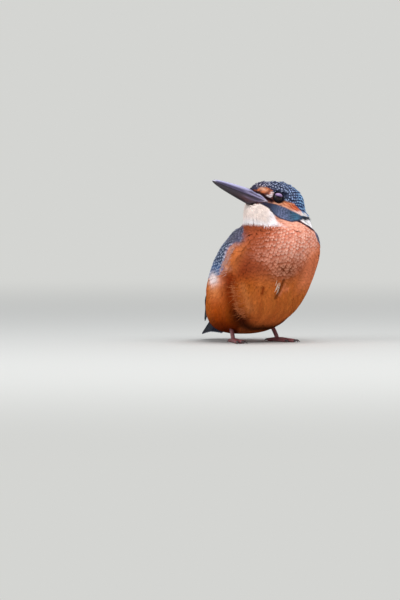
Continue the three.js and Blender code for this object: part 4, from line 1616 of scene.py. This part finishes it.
def joined_lofts(parts):
    """Several lofts as one set of corners, quads and triangles."""
    corners, quads, caps, total = [], [], [], 0
    for part in parts:
        corners.append(part[0])
        quads.append(part[1] + total)
        caps.append(part[2] + total)
        total += len(part[0])
    return np.concatenate(corners), [np.concatenate(quads), np.concatenate(caps)]


# %% [markdown]
# ## Bill
# The bill is two horny sheaths that meet along the cutting edge. Beyond the forehead each is
# a plain long taper. Behind it their bare sides run on over the face to the gape, which sits
# almost under the eye, so there the loft follows the skin instead of its own section.

# %% Bill shape
# Along the head's forward direction, and heights in its middle plane.
BILL_BACK, BILL_TIP = 10.6, 45.1
ROOT_AT, BILL_LONG = 9.5, 35.7
AXIS_BACK, AXIS_TIP = -2.3, -0.9
EDGE_BACK, EDGE_TIP = -2.45, -1.15
HALF_DEPTH, HALF_BREADTH = 4.45, 4.05
FREE_FROM = 18  # where the bill comes clear of the face
# Ridges of the horn that run back over the face to the gape: places (forward, up).
RIDGES = [
    [(25, 0.9), (19, 0.75), (15, -0.2), (11.3, -2.0)],
    [(27, -0.6), (20, -0.9), (15, -1.5), (11, -2.5)],
    [(26, -3.0), (20, -3.6), (16, -3.6), (12, -2.9)],
]
NOSTRIL_AT, NOSTRIL_UP = 19.6, 0.35


def bill_taper(f):
    """How thick the bill is at a station, 1 near its root and 0 at the tip."""
    t = np.clip((f - ROOT_AT) / BILL_LONG, 0, 1)
    return np.minimum(1, np.sqrt(9 * t)) * (1 - t) ** 0.5 * 1.06


def bill_axis(f):
    """Height of the bill's middle at a station."""
    return mix(AXIS_BACK, AXIS_TIP, (f - ROOT_AT) / BILL_LONG)


def cutting_edge(f):
    """Height of the line where the sheaths meet."""
    return mix(EDGE_BACK, EDGE_TIP, np.clip((f - BILL_BACK) / (BILL_TIP - BILL_BACK), 0, 1) ** 1.3)


def nostril(f, w):
    """1 in the slit of the nostril."""
    rise = w - NOSTRIL_UP - 0.12 * (NOSTRIL_AT - f)
    return math.exp(-(((f - NOSTRIL_AT) / 1.5) ** 2) - ((rise / 0.38) ** 2))


def skin_reach(f, side, w):
    """How far out sideways the skin lies at a place in the head's middle plane."""
    middle = from_head(f, 0.0, w)
    hit = skin_tree.ray_cast(Vector(middle + SIDEWAYS * side * 20), Vector(-SIDEWAYS * side), 20)
    return 0.0 if hit[0] is None else float((np.array(hit[0]) - middle) @ SIDEWAYS * side)


def bill_width(f, side, w):
    """Half width of the bill at a station and height: its own section, or the face's."""
    taper, axis = bill_taper(f), bill_axis(f)
    inside = max(0.0, 1 - (abs(w - axis) / (HALF_DEPTH * taper + 1e-6)) ** 2)
    own = HALF_BREADTH * taper * inside**0.55 * (1 + 0.16 * float(ease(21, 15, f)))
    reach = skin_reach(f, side, w) + 0.28 if f < FREE_FROM else 0.0
    soft = 0.5
    width = soft * math.log(math.exp(own / soft) + math.exp(reach / soft)) if reach > 0.3 else own
    ridge = sum(float(stroke(np.array([[f, w]]), line, 0.3)[0]) for line in RIDGES)
    return width + 0.12 * ridge * float(ease(27, 22, f))


# %% Sheaths of the bill
def mandible(way, wedge, stations):
    """One sheath. It reaches from the cutting edge up to its ridge (way 1) or down to its
    keel (way -1), and wedge is where its bare side ends on the face."""
    heights = 1 - (1 - np.linspace(0, 1, 11)) ** 1.35
    rings = []
    for f in stations:
        taper, axis = bill_taper(f), bill_axis(f)
        edge = cutting_edge(f) + way * 0.05
        far = mix(float(stepped(f, wedge)), axis + way * HALF_DEPTH * taper, float(ease(17, 19.5, f)))
        ring = []
        for side, rise in ((1, heights), (-1, heights[::-1])):
            for h in rise:
                w = mix(edge, far, h)
                width = max(bill_width(f, side, w), 0.16 * taper)
                width -= 0.34 * nostril(f, w) if way == 1 else 0
                tuck = 0.9 * h**8 * float(ease(19, 17, f))
                lip = 0.12 * math.exp(-((h / 0.10) ** 2)) * taper
                ring.append(((width - tuck + lip) * side, w))
        # A hollow underside closes each sheath.
        roof = edge + way * 0.5 * taper
        ring += [(share * ring[0][0], roof) for share in (-0.6, 0, 0.6)]
        sides, ups = np.array(ring).T
        rings.append(from_head(np.full(len(ring), f), sides, ups))
    return loft(np.array(rings))


# %% [markdown]
# Horn is made of fibres that run along the bill, so its noise is stretched that way. The broad
# colours are laid by height on the bill, as the coat's were. The pale lilac along the top and
# the lilac lines on the ridges are painted highlight.

# %% Colours of the bill
HORN_BELOW, HORN_SIDE, HORN_BASE = paint(24, 19, 24), paint(50, 38, 52), paint(88, 50, 58)
HORN_MIDDLE, HORN_UPPER, HORN_TOP_HIGHLIGHT = paint(88, 78, 108), paint(70, 62, 92), paint(190, 186, 226)
HORN_EDGE, HORN_BACK, HORN_TIP = paint(34, 26, 34), paint(48, 38, 56), paint(206, 204, 214)
RIDGE_PALE_HIGHLIGHT, NOSTRIL_SHADE = paint(226, 206, 212), paint(20, 16, 20)
RIDGE_HIGHLIGHTS = paint(176, 170, 214), paint(168, 158, 196), paint(112, 96, 126)


def bill_tint(corners):
    """A painted highlight of pale lilac above, dark along the cutting edge, brown at the base, black below.
    """
    f, _, w = on_head(corners)
    profile = np.stack([f, w], 1)
    height = (w - bill_axis(f)) / (HALF_DEPTH * np.maximum(bill_taper(f), 0.05))
    back = ease(24, 16, f)
    horn = Layers(len(corners), HORN_BELOW)
    horn.lay(ease(-0.95, -0.6, height), HORN_SIDE)
    horn.lay(ease(30, 20, f) * ease(-0.15, -0.4, height) * ease(-0.95, -0.7, height) * 0.9, HORN_BASE)
    horn.lay(ease(-0.25, -0.05, height), HORN_MIDDLE)
    horn.lay(ease(0.0, 0.15, height), HORN_UPPER)
    # Painted highlight along the top of the bill.
    horn.lay(ease(0.3, 0.85, height) * (1 - 0.75 * back), HORN_TOP_HIGHLIGHT)
    edge = stroke(profile, [(at, cutting_edge(at)) for at in (BILL_TIP, 28, 18)], 0.28)
    horn.lay(edge * ease(44, 40, f) * 0.8, HORN_EDGE)
    horn.lay(back * 0.75, HORN_BACK)
    # Painted highlights along the ridges of the horn.
    for line, colour in zip(RIDGES, RIDGE_HIGHLIGHTS):
        paler = mix(colour, RIDGE_PALE_HIGHLIGHT, ease(14, 11.5, f)[:, None] * 0.6)
        horn.lay(stroke(profile, line, 0.36) * ease(27, 21, f) * 0.85, paler)
    horn.lay(ease(42.6, 44.5, f) * ease(-0.4, 0.3, height) * 0.7, HORN_TIP)
    # Painted shade in the slit of the nostril.
    horn.lay(np.array([nostril(*at) for at in profile]) * 0.9, NOSTRIL_SHADE)
    return horn.base


# %% Bill pieces
horn_finish, shader = new_material("horn", {"Specular IOR Level": 0.55})
levelled = {"Vector": object_place(horn_finish), "Angle": -HEAD_PITCH, "Axis": (0, 1, 0)}
along = node(horn_finish, "VectorRotate", levelled, rotation_type="AXIS_ANGLE")
stretched = node(horn_finish, "Mapping", {"Vector": along, "Scale": (120.0, 1500.0, 1500.0)})
fibres = node(horn_finish, "TexNoise", {"Vector": stretched, "Scale": 1.0, "Detail": 3.0})
tinted(horn_finish, shader, fibres, 0.3, 0.7, 0.82, 1.12)
rough = node(horn_finish, "MapRange", {0: fibres, 3: 0.26, 4: 0.42})
wire(horn_finish, rough, shader.inputs["Roughness"])
bumped(horn_finish, shader, fibres, 0.25, 0.05)

stations = np.concatenate([
    np.linspace(BILL_BACK, 24, 40),
    np.linspace(24.5, BILL_TIP - 0.8, 30),
    BILL_TIP - np.array([0.4, 0.15, 0.03]),
])
shorter = stations[stations < BILL_TIP - 0.3]
for word, sheath in (
    ("upper", mandible(1, WEDGE_TOP, stations)),
    ("lower", mandible(-1, WEDGE_LOW, shorter)),
):
    corners, quads, caps = sheath
    piece = make_piece(f"bill_{word}_horn", corners, [quads, caps])
    give_tint(piece, bill_tint(corners))
    finish_piece(piece, horn_finish, "bill_horn", f"bill_{word}")

# %% [markdown]
# ## Eyes
# A kingfisher's eye is a dark brown ball, large for the head. The lids are a low ring of bare
# skin that hugs the ball and leaves a slightly pointed opening. The clear front bulges over
# the iris, which gives the highlight its shape.

# %% Eyes and lids
EYE_RADIUS = 2.95
LID_OPENING = 47  # degrees round the ball from the middle of its front
# Rings of a lid, from its inner edge over its crest and back under: degrees out and height, mm.
LID_RINGS = (
    (0, 0.0), (0.5, 0.16), (3, 0.30), (7, 0.36), (12, 0.28), (18, 0.22), (24, 0.0), (30, -0.5),
    (20, -0.7), (4, -0.4),
)


def eye_axes(side):
    """The eye's middle and its directions outward, towards the bill, and up."""
    centre = from_head(EYE_AT[0], EYE_AT[1] * side, EYE_AT[2])
    out = settle(centre + SIDEWAYS * side * 3)[1]
    out = unit(out * 0.6 + SIDEWAYS * side)
    ahead = unit(FORWARD - (FORWARD @ out) * out)
    return centre, out, ahead, np.cross(ahead, out) * side


def eye_ring(axes, turns, angle, reach):
    """Corners round the eye at some angle from its front and distance from its middle."""
    centre, out, ahead, upward = axes
    around = np.cos(turns)[:, None] * ahead + np.sin(turns)[:, None] * upward
    angle, reach = np.reshape(angle, (-1, 1)), np.reshape(reach, (-1, 1))
    return centre + reach * (np.cos(angle) * out + np.sin(angle) * around)


def eye_ball(side):
    """Rings from the middle of the clear front to the back of the ball."""
    axes, turns = eye_axes(side), np.linspace(0, 2 * math.pi, 48, endpoint=False)
    angles = np.linspace(2, 178, 48)
    bulges = 0.16 * np.exp(-((angles / 34) ** 4))
    rings = [
        eye_ring(axes, turns, angle, EYE_RADIUS + bulge)
        for angle, bulge in zip(np.radians(angles), bulges)
    ]
    return loft(np.array(rings))


def eye_lids(side):
    """A ring of skin round the opening, pointed towards the bill and behind."""
    axes, turns = eye_axes(side), np.linspace(0, 2 * math.pi, 72, endpoint=False)
    opening = LID_OPENING + 6 * np.cos(turns) ** 4 + 2 * np.cos(turns)
    rings = []
    for step, height in LID_RINGS:
        fold = 0.03 * np.sin(9 * turns + step)
        reach = EYE_RADIUS + height + fold * (0 < step < 20)
        rings.append(eye_ring(axes, turns, np.radians(opening + step), reach))
    rings = np.array(rings).transpose(1, 0, 2)
    n, m = rings.shape[:2]
    i, j = (g.ravel() for g in np.meshgrid(np.arange(n), np.arange(m), indexing="ij"))
    ahead, beside = (i + 1) % n * m, (j + 1) % m
    quads = np.stack([i * m + j, i * m + beside, ahead + beside, ahead + j], 1)
    corners = rings.reshape(-1, 3)
    a, b, c, d = (corners[quads[:, x]] - axes[0] for x in range(4))
    if (np.cross(a, b) * c).sum() + (np.cross(a, c) * d).sum() < 0:
        quads = quads[:, ::-1]
    return corners, quads


# %% [markdown]
# The ball is wet and glossy and the lids are dull. The lilac over the upper half of the clear
# front is a painted reflection in the tint, so it stays on the eye in any light.

# %% Colours of the eye
PUPIL, IRIS, EYE_RIM = paint(10, 7, 9), paint(36, 22, 24), paint(12, 8, 11)
REFLECTION_LOW, REFLECTION_HIGH = paint(96, 70, 120), paint(196, 166, 214)


def eye_tint(corners, side):
    """Near black, with the iris a little browner and a lilac painted reflection in the upper half."""
    centre, out, ahead, upward = eye_axes(side)
    way = unit(corners - centre)
    level = way @ upward
    angle = np.degrees(np.arccos(np.clip(way @ out, -1, 1)))
    iris = mix(PUPIL, IRIS, ease(17, 22, angle)[:, None])
    iris = mix(iris, EYE_RIM, ease(36, 44, angle)[:, None])
    # Painted reflection: a lilac oval over the upper half of the clear front.
    painted_reflection = 1 - ease(0.75, 1.1, np.hypot((way @ ahead) / 0.76, (level - 0.27) / 0.36))
    painted_reflection = painted_reflection * ease(-0.08, 0.06, level) * (way @ out > 0)
    lilac = mix(REFLECTION_LOW, REFLECTION_HIGH, ease(0.0, 0.45, level)[:, None])
    return mix(iris, lilac, painted_reflection[:, None] * 0.72)


# %% Eye pieces
gloss, shader = new_material("eye_gloss", {"Roughness": 0.08, "Specular IOR Level": 0.22})
flecks = node(gloss, "TexNoise", {"Scale": 2600.0, "Detail": 2.0})
tinted(gloss, shader, flecks, 0.8, 1.2)

lid_skin, shader = new_material("lid_skin", {"Roughness": 0.8, "Specular IOR Level": 0.05})
grain = node(lid_skin, "TexNoise", {"Scale": 3000.0, "Detail": 3.0})
lid_tone = two_tone(lid_skin, grain, (0.004, 0.003, 0.005), (0.014, 0.012, 0.018))
wire(lid_skin, lid_tone, shader.inputs["Base Color"])
bumped(lid_skin, shader, grain, 0.5, 0.06)

for side, word in ((1, "left"), (-1, "right")):
    corners, quads, caps = eye_ball(side)
    ball = make_piece(f"eyeball_{word}", corners, [quads, caps])
    give_tint(ball, eye_tint(corners, side))
    finish_piece(ball, gloss, "eye_dark", f"eye_{word}")
    corners, quads = eye_lids(side)
    finish_piece(make_piece(f"eyelids_{word}", corners, [quads]), lid_skin, "eye_dark")

# %% [markdown]
# ## Legs, toes and claws
# Kingfishers have short weak legs. The front toes are joined over half their length, the
# undersides are broad pads, and the tops carry small scutes. Here the rings of each loft are
# rippled for pads and scutes, and the soles are pressed flat where the bird rests on them.

# %% Tubes for legs, toes and claws
UPWARD, FORE = (0, 0, 1), (0, -1, 0)
SCUTE, PAD = 1.05, 3.1  # lengths along a toe


def tube(path, radius, top_way, around, scutes=0.0, pads=0.0):
    """Rings round a path, with scutes on top, pads below and a level sole."""
    way = unit(np.gradient(path, axis=0))
    aside = unit(np.cross(way, top_way))
    upward = np.cross(aside, way)
    turns = np.linspace(0, 2 * math.pi, around, endpoint=False)
    run = np.concatenate([[0], np.cumsum(np.linalg.norm(np.diff(path, axis=0), axis=1))])
    ridge = 1 - np.abs(np.sin(run * math.pi / SCUTE)) ** 0.6
    swell = np.sin(run * math.pi / PAD) ** 2
    top, under = np.clip(np.sin(turns), 0, 1), np.clip(-np.sin(turns), 0, 1)
    rings = []
    for i in range(len(path)):
        r = radius[i] * (1 - scutes * ridge[i] * top + pads * (swell[i] - 0.5) * (under + 0.4))
        spoke = np.cos(turns)[:, None] * aside[i] + np.sin(turns)[:, None] * upward[i]
        rings.append(path[i] + r[:, None] * spoke)
    rings = np.array(rings)
    rings[..., 2] = np.maximum(rings[..., 2], 0)
    return rings


def rounded(t, reach):
    """Radius share of an end rounded over a reach, t away from it."""
    return np.clip(1 - np.clip(1 - t / reach, 0, 1) ** 2, 0.02, 1) ** 0.5


def blunt(count, front, back):
    """Radius share along a tube with rounded ends."""
    t = np.linspace(0, 1, count)
    return rounded(t, front) * rounded(1 - t, back)


# %% [markdown]
# Each foot has three front toes, a hind toe and a short web of sole between their roots. The
# claws are pieces of their own, as horn is harder and darker than skin.

# %% Shapes of the feet
TURNED, SIDES = {"right": -12, "left": 6}, {"right": -1, "left": 1}  # degrees; which side
# Degrees aside of each toe, its length and radius.
TOES = {
    "inner": (-13, 9.6, 1.12), "middle": (3, 13.2, 1.25), "outer": (14, 12.0, 1.15),
    "hind": (184, 6.6, 1.15),
}
SUNK = 0.35  # how far the soles are pressed flat


def toe_way(foot, toe):
    """Which way a toe points over the ground."""
    angle = math.radians(TURNED[foot] + SIDES[foot] * TOES[toe][0])
    return np.array([math.sin(angle), -math.cos(angle), 0])


def toe_rings(foot, toe):
    """A toe with its pads, from the ankle to the root of its claw."""
    length, radius = TOES[toe][1:]
    way, start = toe_way(foot, toe), np.array([*LEGS[foot], radius])
    path = curve([
        start - way * 0.6,
        start + way * length * 0.3 + [0, 0, 0.1],
        start + way * length * 0.65 - [0, 0, 0.2],
        start + way * (length + 0.1) - [0, 0, SUNK],
    ], 64)
    return tube(path, radius * np.linspace(1.02, 0.86, 64) * blunt(64, 0.12, 0.08), UPWARD, 18, 0.07, 0.16)


def claw_rings(foot, toe):
    """A claw that arches down to a point on the ground."""
    length, radius = TOES[toe][1:]
    height, way = radius - SUNK, toe_way(foot, toe)
    knuckle = np.array([*LEGS[foot], height]) + way * (length - 0.9)
    path = curve([
        knuckle,
        knuckle + way * 1.5 + [0, 0, 0.28],
        knuckle + way * 2.9 + [0, 0, 0.05],
        knuckle + way * 3.9 + [0, 0, 0.14 - height],
    ], 28)
    return tube(path, np.linspace(1, 0.0, 28) ** 0.75 * 0.66 + 0.05, UPWARD, 14)


def leg_rings(foot):
    """The short leg from the foot up into the belly."""
    (x, y), side = LEGS[foot], SIDES[foot]
    path = curve([
        (x, y + 0.2, 1.0),
        (x, y + 0.6, 3.2),
        (x - side * 0.7, y + 3.0, 7.6),
        (x - side * 1.5, y + 5.4, 12.6),
    ], 48)
    t = np.linspace(0, 1, 48)
    radius = 1.12 + 0.18 * np.exp(-((t - 0.06) / 0.08) ** 2) + 0.25 * ease(0.7, 1.0, t)
    return tube(path, radius, FORE, 20, scutes=0.08)


def web_rings(foot):
    """The sole that joins the roots of the front toes."""
    start = np.array([*LEGS[foot], 0.85])
    path = start + toe_way(foot, "middle") * np.linspace(-1.0, 6.2, 26)[:, None]
    rings = tube(path, np.linspace(1.5, 1.75, 26) * blunt(26, 0.25, 0.2), UPWARD, 20, pads=0.1)
    rings[..., 2] = np.clip(mix(0.8, rings[..., 2], 0.62), 0, None)
    return rings


# %% Leg and claw pieces
foot_skin, shader = new_material("foot_skin", {"Roughness": 0.5})
place = object_place(foot_skin)
blotches = node(foot_skin, "TexNoise", {"Vector": place, "Scale": 700.0, "Detail": 4.0})
scales = node(foot_skin, "TexVoronoi", {"Vector": place, "Scale": 2200.0})
colour = two_tone(foot_skin, blotches, paint(126, 62, 66), paint(186, 116, 118))
colour = two_tone(foot_skin, scales, colour, paint(96, 50, 54))
wire(foot_skin, colour, shader.inputs["Base Color"])
bumped(foot_skin, shader, scales, 0.35, 0.1)

claw_finish, shader = new_material("claw_horn", {"Roughness": 0.35})
grain = node(claw_finish, "TexNoise", {"Scale": 1800.0, "Detail": 3.0})
colour = two_tone(claw_finish, grain, paint(50, 42, 44), paint(88, 76, 78))
wire(claw_finish, colour, shader.inputs["Base Color"])

for foot in LEGS:
    parts = [leg_rings(foot), web_rings(foot)] + [toe_rings(foot, toe) for toe in TOES]
    corners, blocks = joined_lofts([loft(rings) for rings in parts])
    leg = make_piece(f"leg_{foot}", corners, blocks)
    finish_piece(leg, foot_skin, "leg_skin", f"tarsus_{foot}", f"foot_{foot}")
    for toe in TOES:
        corners, quads, caps = loft(claw_rings(foot, toe))
        claw = make_piece(f"nail_{foot}_{toe}", corners, [quads, caps])
        finish_piece(claw, claw_finish, "claw_horn", f"claw_{foot}_{toe}")
